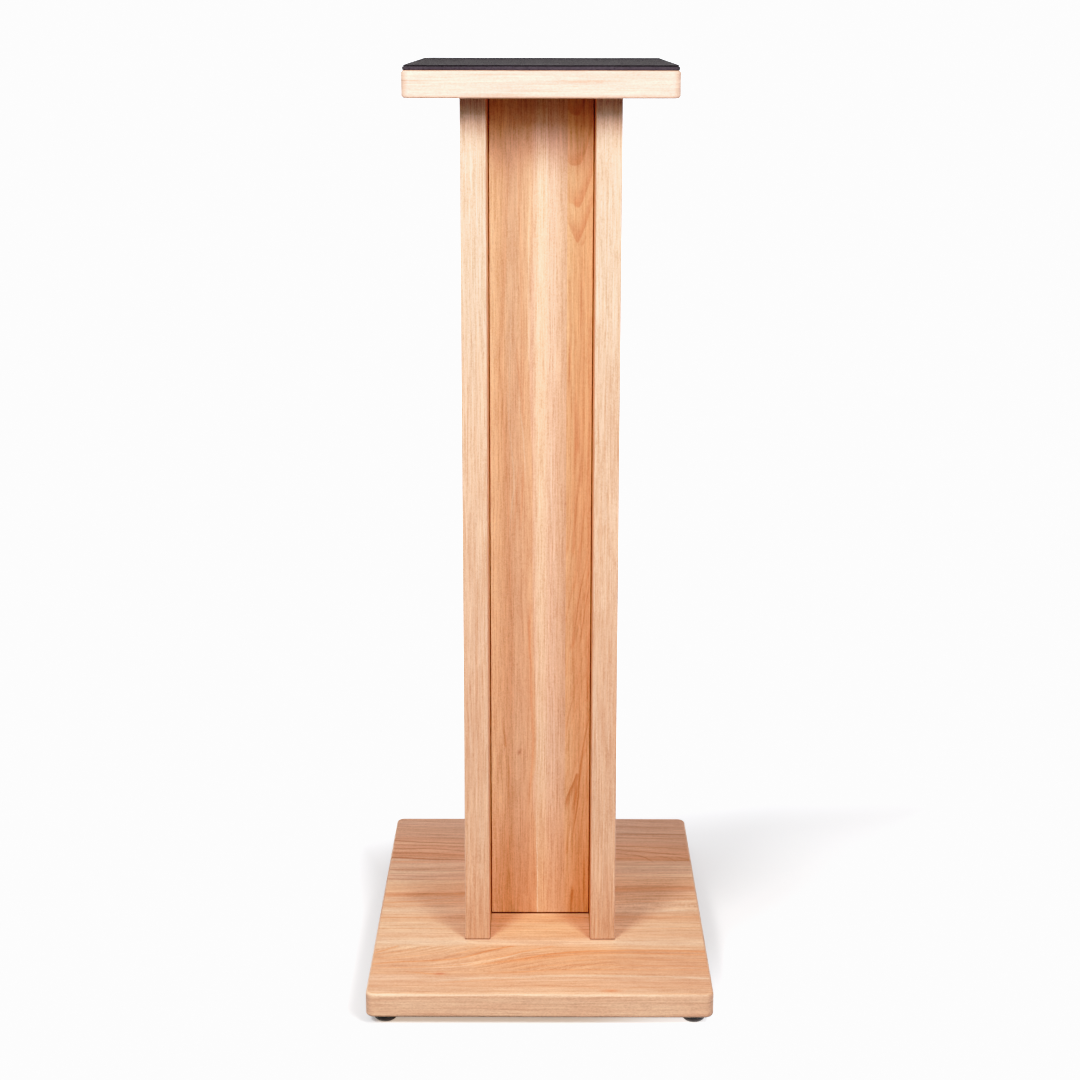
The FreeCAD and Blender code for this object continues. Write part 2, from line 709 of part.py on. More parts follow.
def cam(name, side, mid):
    """Cam: cylinder with a pocket for the bolt's head, a slot for its neck and a cross slot to turn it."""
    body = doc.addObject("Part::Cylinder", name + "_barrel")
    body.setExpression("Radius", (d.cam_dia / 2).e)
    body.setExpression("Height", d.cam_z.e)
    depth = d.cam_axis        # bolt axis below the face
    # barrel axis runs from the face (z = 0) into the block (+z)
    pocket = doc.addObject("Part::Cylinder", name + "_pocket")
    pocket.Radius = 3.7
    pocket.Height = 8.0
    pocket.Placement = Placement(Vector(-3.6, 0, depth.v), Rotation(Vector(0, 1, 0), 90))
    pocket.setExpression("Placement.Base.z", depth.e)
    slot = doc.addObject("Part::Box", name + "_slot")
    slot.Length = 8.0
    slot.Width = 4.8
    slot.setExpression("Height", (d.cam_z - depth + 2.4 + 1).e)
    slot.Placement = Placement(Vector(0, -2.4, depth.v - 2.4), Rotation())
    slot.setExpression("Placement.Base.z", (depth - 2.4).e)
    a = doc.addObject("Part::Box", name + "_drive_a")
    a.Length, a.Width, a.Height = 8.0, 1.4, 2.6
    a.Placement = Placement(Vector(-4.0, -0.7, -1.0), Rotation())
    b = doc.addObject("Part::Box", name + "_drive_b")
    b.Length, b.Width, b.Height = 1.4, 8.0, 2.6
    b.Placement = Placement(Vector(-0.7, -4.0, -1.0), Rotation())
    tools = doc.addObject("Part::MultiFuse", name + "_tools")
    tools.Shapes = [pocket, slot, a, b]
    c = doc.addObject("Part::Cut", name)
    c.Base = body
    c.Tool = tools
    # own +Z into the block (towards -Y), own +X towards the upright
    rot = Rotation(Vector(side, 0, 0), Vector(0, 0, -side) if side > 0 else Vector(0, 0, 1), Vector(0, -1, 0), "ZXY")
    m = Placement(Vector(0, 0, 0), rot)
    put(c, (d.inner_w / 2 - d.cam_in) * side, block_d / 2 - 0.2, mid - d.cam_down, rot)
    return c


keep(group("cam_locks", [cam("cam_lock_%d" % k, side, mid) for k, (side, mid) in enumerate(SIX)]), 6)

# panel screws
BACK_TO_FRONT = Rotation(Vector(1, 0, 0), 90)    # +Z of the screw goes to -Y
keep(group("front_panel_screws", [
    countersunk("front_panel_screw_%d" % k, d.front_screw_len, d.front_screw_x * side, block_d / 2 - 0.15,
                mid + d.front_screw_up, BACK_TO_FRONT)
    for k, (side, mid) in enumerate(SIX)]), 6)
keep(group("rear_panel_screws", [
    countersunk("rear_panel_screw_%d" % k, d.rear_screw_len, d.rear_screw_x * side, panel_y + d.board_t / 2 - 0.15,
                mid + d.rear_screw_up, BACK_TO_FRONT)
    for k, (side, mid) in enumerate(SIX)]), 6)


# feet: washer and pan head screw in each recess
def pan_screw(name, x, y, z):
    """Pan head wood screw: underside of the head at z = 0, point towards +Z."""
    rs, rh, hh = d.screw_dia / 2, d.foot_screw_head / 2, d.foot_screw_head_z
    ln = d.foot_screw_len
    body = turned(name, [
        (ZERO, -hh), (rh - 1.2, -hh), (rh - 0.25, -hh + 0.9), (rh, -hh + 1.7), (rh, ZERO),
        (rs, ZERO), (rs, ln - 4.0), (Dim.of(0.4), ln), (ZERO, ln),
    ])
    s = new_sketch(body, "XY_Plane", "recess", -hh)
    a, b = Dim.of(2.0), Dim.of(0.5)
    polygon(s, [
        (b, b), (a, b), (a, -b), (b, -b), (b, -a), (-b, -a),
        (-b, -b), (-a, -b), (-a, b), (-b, b), (-b, a), (b, a),
    ])
    cut(body, s, Dim.of(1.5), "recess_cut", flip=True)
    put(body, x, y, z)
    return body


z_fw = d.foot_rec_z - d.foot_wash_t
keep(group("foot_washers", [
    washer("foot_washer_%d" % k, d.foot_wash_dia, d.foot_bore, d.foot_wash_t, foot_x * sx, foot_y * sy, z_fw)
    for k, (sx, sy) in enumerate(FOUR)]), 4)
keep(group("foot_screws", [
    pan_screw("foot_screw_%d" % k, foot_x * sx, foot_y * sy, z_fw) for k, (sx, sy) in enumerate(FOUR)]), 4)

# --------------------------------------------------------- checks and export
doc.recompute()
bad = []
for obj in doc.Objects:
    for state in obj.State:
        if state in ("Invalid", "Error"):
            bad.append("%s: %s" % (obj.Name, state))
for obj in nodes:
    shape = obj.Shape
    if shape.isNull() or not shape.isValid():
        bad.append("%s: shape null or not valid" % obj.Label)
    elif len(shape.Solids) != expect[obj.Name]:
        bad.append("%s: %d solids, %d wanted" % (obj.Label, len(shape.Solids), expect[obj.Name]))
if bad:
    raise RuntimeError("; ".join(bad))
box = FreeCAD.BoundBox()
for obj in nodes:
    box.add(obj.Shape.BoundBox)
    obj.Shape.exportStep("parts/%s.step" % obj.Label)
    print("%-22s %2d solid(s)  %12.1f mm3" % (obj.Label, len(obj.Shape.Solids), obj.Shape.Volume))
print("%d nodes, box %.2f x %.2f x %.2f, z from %.3f" % (len(nodes), box.XLength, box.YLength, box.ZLength, box.ZMin))
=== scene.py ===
import math

import bmesh
import bpy
from mathutils import Matrix, Vector, noise as mnoise


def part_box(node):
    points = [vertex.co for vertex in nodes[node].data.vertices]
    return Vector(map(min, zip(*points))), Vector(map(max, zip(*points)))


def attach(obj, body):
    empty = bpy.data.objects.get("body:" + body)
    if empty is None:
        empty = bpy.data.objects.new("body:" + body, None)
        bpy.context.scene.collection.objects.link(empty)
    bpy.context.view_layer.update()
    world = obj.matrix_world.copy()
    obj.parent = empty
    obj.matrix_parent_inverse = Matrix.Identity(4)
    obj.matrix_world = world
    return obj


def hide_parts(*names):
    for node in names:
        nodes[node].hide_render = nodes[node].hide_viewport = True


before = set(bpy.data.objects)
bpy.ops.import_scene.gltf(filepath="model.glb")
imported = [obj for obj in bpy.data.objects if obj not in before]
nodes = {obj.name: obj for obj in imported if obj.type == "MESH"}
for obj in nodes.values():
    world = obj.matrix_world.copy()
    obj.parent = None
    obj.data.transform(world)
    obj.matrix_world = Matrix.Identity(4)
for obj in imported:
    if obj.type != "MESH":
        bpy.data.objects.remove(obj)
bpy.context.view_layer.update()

scene = bpy.context.scene


# ---------------------------------------------------------------- small helpers for node trees

def lin(r, g, b):
    """A colour written as 0-255 display values, turned into the linear values that shaders read."""
    out = []
    for v in (r, g, b):
        v /= 255.0
        out.append(v / 12.92 if v <= 0.04045 else ((v + 0.055) / 1.055) ** 2.4)
    return (out[0], out[1], out[2], 1.0)


def times(c, k):
    """A linear colour times a gain a channel, kept under a real surface's brightness."""
    return tuple(min(0.93, v * g) for v, g in zip(c[:3], k)) + (1.0,)


def shade(stops, k, lo=-1e9, hi=1e9):
    """Band stops with the colours between two places multiplied."""
    return [(p, times(c, k) if lo <= p <= hi else c) for p, c in stops]


def soften(stops, f):
    """Band stops drawn towards their mean colour; f is what is left of the contrast."""
    m = [sum(c[i] for _, c in stops) / len(stops) for i in range(3)]
    return [(p, tuple(m[i] + f * (c[i] - m[i]) for i in range(3)) + (1.0,)) for p, c in stops]


class Tree:
    """Builds one material's nodes; every method returns an output socket."""

    def __init__(self, name):
        self.mat = bpy.data.materials.new(name)
        self.mat.use_nodes = True
        self.nt = self.mat.node_tree
        self.nt.nodes.clear()
        self.out = self.nt.nodes.new("ShaderNodeOutputMaterial")
        self.bsdf = self.nt.nodes.new("ShaderNodeBsdfPrincipled")
        self.nt.links.new(self.bsdf.outputs[0], self.out.inputs[0])
        self.coord = self.nt.nodes.new("ShaderNodeTexCoord")
        self.pos = self.coord.outputs["Object"]
        self.x, self.y, self.z = (self.mul(s, 1000.0) for s in self.split(self.pos))  # millimetres

    def put(self, socket, value):
        if isinstance(value, bpy.types.NodeSocket):
            self.nt.links.new(value, socket)
        else:
            socket.default_value = value

    def math(self, op, a, b=None, c=None, clamp=False):
        n = self.nt.nodes.new("ShaderNodeMath")
        n.operation = op
        n.use_clamp = clamp
        for i, v in enumerate((a, b, c)):
            if v is not None:
                self.put(n.inputs[i], v)
        return n.outputs[0]

    def add(self, a, b): return self.math("ADD", a, b)
    def sub(self, a, b): return self.math("SUBTRACT", a, b)
    def mul(self, a, b): return self.math("MULTIPLY", a, b)
    def mad(self, a, b, c): return self.math("MULTIPLY_ADD", a, b, c)

    def total(self, *terms):
        out = terms[0]
        for t in terms[1:]:
            out = self.add(out, t)
        return out

    def split(self, v):
        n = self.nt.nodes.new("ShaderNodeSeparateXYZ")
        self.put(n.inputs[0], v)
        return n.outputs[0], n.outputs[1], n.outputs[2]

    def join(self, x, y, z):
        n = self.nt.nodes.new("ShaderNodeCombineXYZ")
        for s, v in zip(n.inputs, (x, y, z)):
            self.put(s, v)
        return n.outputs[0]

    def noise(self, x, y, z, detail=2.0, rough=0.5, distortion=0.0):
        """Noise about 0.5 whose unit cell is 1; the coordinates are scaled by the caller."""
        n = self.nt.nodes.new("ShaderNodeTexNoise")
        n.noise_dimensions = "3D"
        self.put(n.inputs["Vector"], self.join(x, y, z))
        n.inputs["Scale"].default_value = 1.0
        n.inputs["Detail"].default_value = detail
        n.inputs["Roughness"].default_value = rough
        n.inputs["Distortion"].default_value = distortion
        return n.outputs[0]

    def white(self, w):
        n = self.nt.nodes.new("ShaderNodeTexWhiteNoise")
        n.noise_dimensions = "1D"
        self.put(n.inputs["W"], w)
        return n.outputs["Value"]

    def voronoi(self, x, y, z, feature="F1", randomness=1.0):
        n = self.nt.nodes.new("ShaderNodeTexVoronoi")
        n.voronoi_dimensions = "3D"
        n.feature = feature
        self.put(n.inputs["Vector"], self.join(x, y, z))
        n.inputs["Scale"].default_value = 1.0
        n.inputs["Randomness"].default_value = randomness
        return n.outputs["Distance"]

    def smooth(self, v, lo, hi, a=0.0, b=1.0):
        n = self.nt.nodes.new("ShaderNodeMapRange")
        n.interpolation_type = "SMOOTHSTEP"
        n.clamp = False                                    # this kind stays within its ends anyway
        for i, s in enumerate((v, lo, hi, a, b)):
            self.put(n.inputs[i], s)
        return n.outputs[0]

    def range(self, v, lo, hi, a=0.0, b=1.0, clamp=True):
        n = self.nt.nodes.new("ShaderNodeMapRange")
        n.interpolation_type = "LINEAR"
        n.clamp = clamp
        for i, s in enumerate((v, lo, hi, a, b)):
            self.put(n.inputs[i], s)
        return n.outputs[0]

    def ramp(self, v, stops, mode="LINEAR"):
        n = self.nt.nodes.new("ShaderNodeValToRGB")
        n.color_ramp.interpolation = mode
        el = n.color_ramp.elements
        while len(el) > 1:
            el.remove(el[-1])
        el[0].position = stops[0][0]
        el[0].color = stops[0][1]
        for p, c in stops[1:]:
            e = el.new(p)
            e.color = c
        self.put(n.inputs[0], v)
        return n.outputs[0]

    def curve(self, v, stops, mode="LINEAR"):
        """A value by value table, as a grey ramp."""
        out = self.ramp(v, [(p, (c, c, c, 1.0)) for p, c in stops], mode)
        n = self.nt.nodes.new("ShaderNodeSeparateColor")
        self.put(n.inputs[0], out)
        return n.outputs[0]

    def table(self, v, pts):
        """A smooth curve through (place, value) points, both from 0 to 1."""
        n = self.nt.nodes.new("ShaderNodeFloatCurve")
        c = n.mapping.curves[0]
        c.points[0].location = pts[0]
        c.points[1].location = pts[-1]
        for p in pts[1:-1]:
            c.points.new(*p)
        for p in c.points:
            p.handle_type = "AUTO_CLAMPED"
        n.mapping.extend = "HORIZONTAL"
        n.mapping.update()
        self.put(n.inputs["Value"], v)
        return n.outputs[0]

    def drawn(self, u, v, below, above, pts):
        """One grain line through (u, v, strength) points; it fades over `below` towards -V and over `above` towards +V."""
        if pts[0][2] > 0.0:                                # a line stops where its points stop
            (a, b, _), (c, d, _) = pts[0], pts[1]
            pts = [(a - 1.5, b - (d - b) / (c - a) * 1.5, 0.0)] + pts
        if pts[-1][2] > 0.0:
            (a, b, _), (c, d, _) = pts[-2], pts[-1]
            pts = pts + [(c + 1.5, d + (d - b) / (c - a) * 1.5, 0.0)]
        u0, u1 = pts[0][0], pts[-1][0]
        v0, v1 = min(p[1] for p in pts), max(p[1] for p in pts) + 0.001
        f = self.mad(u, 1.0 / (u1 - u0), -u0 / (u1 - u0))
        at = self.mad(self.table(f, [((p[0] - u0) / (u1 - u0), (p[1] - v0) / (v1 - v0)) for p in pts]), v1 - v0, v0)
        level = self.table(f, [((p[0] - u0) / (u1 - u0), p[2]) for p in pts])
        d = self.sub(v, at)
        return self.mul(level, self.mul(self.smooth(d, -below, 0.0), self.smooth(d, above, 0.0)))

    def lines(self, u, v, rows):
        """Several drawn lines together; a row is (below, above, points)."""
        out = None
        for below, above, pts in rows:
            one = self.drawn(u, v, below, above, pts)
            out = one if out is None else self.math("MAXIMUM", out, one)
        return out

    def bands(self, v, lo, hi, stops, mode="LINEAR"):
        """Colour by place: stops are (millimetres, colour)."""
        f = self.range(v, lo, hi, clamp=False)
        return self.ramp(f, [((p - lo) / (hi - lo), c) for p, c in stops], mode)

    def mix(self, fac, a, b, blend="MIX"):
        n = self.nt.nodes.new("ShaderNodeMix")
        n.data_type = "RGBA"
        n.blend_type = blend
        n.clamp_factor = True
        self.put(n.inputs[0], fac)
        self.put(n.inputs[6], a)
        self.put(n.inputs[7], b)
        return n.outputs[2]

    def mixf(self, fac, a, b):
        n = self.nt.nodes.new("ShaderNodeMix")
        n.data_type = "FLOAT"
        n.clamp_factor = True
        self.put(n.inputs[0], fac)
        self.put(n.inputs[2], a)
        self.put(n.inputs[3], b)
        return n.outputs[0]

    def gain(self, colour, f):
        """Colour times a number from a socket."""
        n = self.nt.nodes.new("ShaderNodeVectorMath")
        n.operation = "SCALE"
        self.put(n.inputs[0], colour)
        self.put(n.inputs["Scale"], f)
        return n.outputs[0]

    def normal(self):
        """The surface's own direction in the row frame, as absolute parts."""
        x, y, z = self.split(self.coord.outputs["Normal"])
        return (self.math("ABSOLUTE", x), self.math("ABSOLUTE", y), self.math("ABSOLUTE", z))

    def bump(self, height, distance, strength=1.0, after=None):
        n = self.nt.nodes.new("ShaderNodeBump")
        n.inputs["Strength"].default_value = strength
        n.inputs["Distance"].default_value = distance
        self.put(n.inputs["Height"], height)
        if after is not None:
            self.put(n.inputs["Normal"], after)
        return n.outputs[0]

    def finish(self, colour, roughness, normal=None, specular=0.5, **more):
        self.put(self.bsdf.inputs["Base Color"], colour)
        self.put(self.bsdf.inputs["Roughness"], roughness)
        if normal is not None:
            self.put(self.bsdf.inputs["Normal"], normal)
        self.bsdf.inputs["Specular IOR Level"].default_value = specular
        for k, v in more.items():
            self.put(self.bsdf.inputs[k.replace("_", " ")], v)
        return self.mat


# ---------------------------------------------------------------- wood
# U runs along the grain, V across it and W into the board, all in millimetres.

class Wood(Tree):
    def fibres(self, u, v, w, seed=0.0):
        """Fine straight streaks, tiny pores and slow mottling, shared by every wooden face."""
        u = self.add(u, seed * 37.0)
        drift = self.noise(self.mul(u, 0.006), self.mul(v, 0.02), self.mul(w, 0.02), 2.0)
        ripple = self.noise(self.mul(u, 0.06), self.mul(v, 0.05), self.mul(w, 0.05), 1.0)
        vv = self.total(v, self.mul(drift, 5.0), self.mul(ripple, 1.1))
        self.broad = self.noise(self.mul(u, 0.0042), self.mul(vv, 0.15), self.mul(w, 0.15), 2.0, 0.55)
        self.mid = self.noise(self.mul(u, 0.012), self.mul(vv, 0.36), self.mul(w, 0.36), 1.0, 0.5)
        self.streak = self.noise(self.mul(u, 0.022), self.mul(vv, 0.80), self.mul(w, 0.80), 2.0, 0.6)
        self.fine = self.noise(self.mul(u, 0.05), self.mul(vv, 2.1), self.mul(w, 2.1), 2.0, 0.6)
        dash = self.noise(self.mul(u, 0.16), self.mul(vv, 3.4), self.mul(w, 3.4), 1.0, 0.5)
        self.pores = self.smooth(dash, 0.60, 0.74)
        self.mottle = self.noise(self.mul(u, 0.02), self.mul(vv, 0.05), self.mul(w, 0.05), 2.0, 0.5)
        self.fleck = self.noise(self.mul(u, 0.75), self.mul(vv, 1.0), self.mul(w, 1.0), 1.0, 0.6)
        return vv

    def rings(self, t, dark_at=0.86, seed=0.0):
        """Growth rings from a field t that grows by 1 a ring: slow darkening, then a quick edge. Rings differ in strength."""
        t = self.add(t, seed)
        frac = self.math("FRACT", t)
        body = self.curve(frac, [(0.0, 0.0), (0.30, 0.05), (0.62, 0.30), (dark_at, 1.0), (0.95, 0.55), (1.0, 0.0)], "EASE")
        strength = self.range(self.white(self.math("FLOOR", t)), 0.0, 1.0, 0.25, 1.0)
        return self.mul(body, strength)

    def dress(self, base, lines, line_colour, line_amount=0.8, streaks=1.0, pore_colour=(0.20, 0.085, 0.04, 1.0), pores=0.35,
              wide=1.0):
        """Base colour, then ring lines, streaks and pores. `streaks` and `wide` scale the thin and the broader ones."""
        col = self.mix(self.mul(lines, line_amount), base, line_colour)
        thin = self.total(
            self.mul(self.sub(self.streak, 0.5), 0.62),
            self.mul(self.sub(self.fine, 0.5), 0.24),
            self.mul(self.sub(self.fleck, 0.5), 0.34),
        )
        thick = self.total(
            self.mul(self.sub(self.mid, 0.5), 0.34),
            self.mul(self.sub(self.broad, 0.5), 0.20),
            self.mul(self.sub(self.mottle, 0.5), 0.10),
        )
        k = self.total(self.mul(thin, streaks), self.mul(thick, wide), 1.0)
        col = self.gain(col, k)
        # dark streaks are redder than light ones
        warm = self.smooth(k, 0.86, 1.0)
        col = self.mix(warm, self.mix(1.0, col, (1.0, 0.925, 0.84, 1.0), "MULTIPLY"), col)
        return self.mix(self.mul(self.pores, pores), col, pore_colour)

    def satin(self, col, lines, rough=0.46, bump=1.0):
        r = self.total(
            self.mul(self.sub(self.streak, 0.5), 0.14),
            self.mul(self.sub(self.mottle, 0.5), 0.12),
            self.mul(self.pores, 0.18),
            self.mul(lines, 0.05),
            rough,
        )
        h = self.total(
            self.mul(self.pores, -0.9),
            self.mul(self.fine, 0.35),
            self.mul(self.streak, 0.30),
            self.mul(lines, -0.25),
        )
        return self.finish(col, r, self.bump(h, 0.00010, 0.55 * bump), 0.42)


def band_face(t, base_a, base_b):
    """The plain narrow edge band: fine parallel grain, no rings."""
    return t.mix(t.smooth(t.broad, 0.30, 0.70), base_a, base_b)


def face_mask(t, axis, lo=0.62, hi=0.80):
    """1 on faces that look along an axis, 0 elsewhere, turning over inside the rounded edge."""
    return t.smooth(t.normal()[axis], lo, hi)


def edge_wear(t, axis, colour, col, amount):
    """The rounded edge is rubbed a little paler, unevenly."""
    n = t.normal()[axis]
    on = t.mul(t.smooth(n, 0.12, 0.45), t.smooth(n, 0.99, 0.80))
    rub = t.smooth(t.noise(t.mul(t.x, 0.045), t.mul(t.y, 0.045), t.mul(t.z, 0.045), 3.0, 0.6), 0.38, 0.66)
    return t.mix(t.mul(t.mul(on, rub), amount), col, colour)


# Colours of this veneer, from pale to red
PALE = lin(240, 205, 170)
CREAM = lin(246, 220, 190)
SAND = lin(232, 188, 148)
PINK = lin(228, 180, 148)
HONEY = lin(228, 166, 116)
ORANGE = lin(222, 154, 102)
RUSSET = lin(206, 136, 92)
RED = lin(188, 108, 68)
DARK = lin(160, 84, 48)


def knot(t, u, v, u0, v0, r, stretch=2.0):
    """A small knot: returns how far a point is inside it (0-1) and a bend for the lines round it."""
    a = t.mul(t.sub(u, u0), 1.0 / stretch)
    b = t.sub(v, v0)
    d2 = t.add(t.mul(a, a), t.mul(b, b))
    core = t.math("EXPONENT", t.mul(d2, -1.0 / (r * r)))
    wide = t.math("EXPONENT", t.mul(d2, -1.0 / (9.0 * r * r)))
    return core, wide


# ---- the panel between the uprights: three staves, grain upright

K_LEFT, K_MID, K_RIGHT = (1.0, 1.14, 1.25), (0.74, 0.69, 0.76), (0.98, 1.22, 1.58)
K_FRONT, K_BACK, K_REAR = (0.88, 0.895, 1.03), (1.07, 1.26, 1.54), (1.17, 1.41, 1.80)
K_NARROW, K_WIDE = (0.68, 0.67, 0.72), (0.80, 0.80, 0.88)

LEFT_DARK = [
    (7.5, 0.9, [(600, -39.5, 0.1), (640, -38.2, 0.22), (680, -36.8, 0.28), (705, -35.3, 0.34), (745, -34, 0.34), (775, -33.2, 0.34), (800, -32, 0.26), (830, -31, 0.1)]),
    (1.2, 0.8, [(640, -38.2, 0.0), (680, -36.8, 0.3), (705, -35.3, 0.4), (745, -34, 0.4), (775, -33.2, 0.5), (800, -32, 0.5), (830, -31, 0.1)]),
    (3.0, 4.0, [(560, -17, 0.1), (620, -18, 0.2), (690, -19, 0.24), (745, -20, 0.22), (790, -21.5, 0.2), (840, -22, 0.1)]),
    (1.0, 1.0, [(600, -18.4, 0.0), (640, -19, 0.45), (690, -19.6, 0.5), (740, -20.6, 0.45), (780, -22, 0.5), (820, -22.6, 0.2)]),
    (2.6, 1.8, [(150, -12.5, 0.0), (172, -11, 0.5), (185, -9.8, 0.65), (200, -8.6, 0.6), (215, -7.6, 0.65), (230, -7.4, 0.6), (250, -8.2, 0.6), (270, -9.0, 0.7), (288, -9.6, 0.6), (310, -9.8, 0.7), (330, -11, 0.95), (348, -11.2, 0.8), (362, -10.6, 0.5), (384, -10, 0.0)]),
    (1.6, 2.4, [(219, -36.0, 0.0), (224, -36.4, 0.85), (230, -37.0, 0.75), (238, -38.4, 0.5), (248, -39.6, 0.3), (262, -40.4, 0.0)]),
    (1.4, 1.2, [(146, -33.8, 0.0), (165, -33.2, 0.5), (188, -32.7, 0.65), (200, -33.2, 0.35), (214, -34.4, 0.0)]),
    (1.5, 1.5, [(560, -16.6, 0.1), (590, -19.4, 0.45), (605, -21.4, 0.5), (625, -23.4, 0.45), (650, -24, 0.1)]),
    (2.4, 1.6, [(452, -20.5, 0.1), (475, -19.2, 0.5), (490, -18.4, 0.6), (505, -17.6, 0.5), (522, -17, 0.2), (545, -16.4, 0.0)]),
    (1.5, 1.3, [(440, -26.8, 0.2), (470, -25.4, 0.45), (490, -24.2, 0.5), (510, -22.4, 0.35), (530, -21, 0.0)]),
    (1.2, 1.2, [(240, -31.4, 0.0), (300, -29.8, 0.35), (330, -29, 0.3), (400, -31.5, 0.4), (460, -32.5, 0.35), (520, -35, 0.35), (580, -39, 0.3), (610, -41, 0.0)]),
    (1.6, 1.6, [(84, -34.2, 0.0), (97, -34, 0.45), (110, -34, 0.4), (128, -34.4, 0.0)]),
    (9.0, 8.0, [(34, -36, 0.24), (60, -36, 0.22), (90, -36, 0.12), (130, -36, 0.0)]),
    (4.0, 4.0, [(34, -22, 0.30), (55, -22, 0.25), (80, -22, 0.0)]),
]
LEFT_PALE = [
    (1.0, 1.0, [(436, -31.8, 0.0), (455, -30.8, 0.45), (480, -29, 0.6), (503, -27, 0.6), (520, -28, 0.6), (545, -30.2, 0.6), (575, -33, 0.4), (605, -34.6, 0.0)]),
    (1.0, 1.0, [(500, -15.6, 0.0), (515, -16, 0.45), (535, -17, 0.55), (560, -19, 0.55), (575, -21, 0.45), (595, -22.4, 0.0)]),
    (1.2, 1.2, [(610, -12.2, 0.0), (640, -12, 0.5), (700, -12.4, 0.35), (760, -11.6, 0.3), (800, -10.6, 0.0)]),
    (1.0, 1.0, [(560, -29.6, 0.0), (600, -31.4, 0.45), (640, -30.4, 0.3), (680, -29.8, 0.0)]),
]
MID_PALE = [
    (0.9, 0.9, [(775, 5.3, 0.0), (800, 5.3, 0.55), (850, 5.3, 0.5), (890, 5.3, 0.1)]),
    (1.0, 1.0, [(450, 10.8, 0.0), (475, 10.6, 0.5), (520, 10.2, 0.5), (560, 9.6, 0.0)]),
    (0.9, 0.9, [(34, -3.0, 0.7), (100, -3.2, 0.7), (135, -3.6, 0.3), (160, -3.9, 0.0)]),
]
MID_DARK = [
    (0.9, 0.9, [(310, 9.6, 0.0), (340, 10, 0.5), (400, 10.6, 0.5), (430, 11, 0.25), (460, 11.2, 0.0)]),
    (1.0, 1.0, [(560, 21.0, 0.0), (640, 20.6, 0.3), (700, 19.6, 0.25), (760, 19, 0.0)]),
    (1.0, 1.0, [(225, 15.8, 0.0), (268, 15.6, 0.4), (280, 15.6, 0.1), (320, 15.2, 0.0)]),
]
# the right stave's arches, as height over place across
ARCHES = [
    (2.2, 20.0, [(24, 874, 0.2), (30, 866, 0.55), (36, 865, 0.6), (40, 872, 0.5), (46, 888, 0.2)]),
    (1.9, 17.0, [(25.5, 820, 0.35), (28, 817.6, 0.65), (31, 816.3, 0.75), (35, 816.8, 0.75), (39, 819.6, 0.65), (41.5, 825, 0.6), (44, 832, 0.6), (46, 840, 0.6), (49, 853, 0.45), (51.5, 864, 0.3)]),
    (2.4, 24.0, [(25.5, 783, 0.25), (28, 780.6, 0.5), (31, 779, 0.65), (34, 775.6, 0.9), (36.5, 775.4, 0.9), (39, 779, 0.8), (42, 786, 0.75), (45, 794, 0.7), (48, 803, 0.6), (51.5, 814, 0.4)]),
    (2.4, 23.0, [(25.5, 764, 0.3), (27.5, 757, 0.5), (30, 751.6, 0.65), (33, 747, 0.7), (36, 742.6, 0.75), (38.5, 746, 0.85), (41, 752, 0.85), (44, 760, 0.75), (47, 769, 0.6), (51.5, 783, 0.35)]),
    (1.8, 6.0, [(39, 738.6, 0.0), (42, 741, 0.55), (44, 746, 0.35), (47, 753, 0.0)]),
]
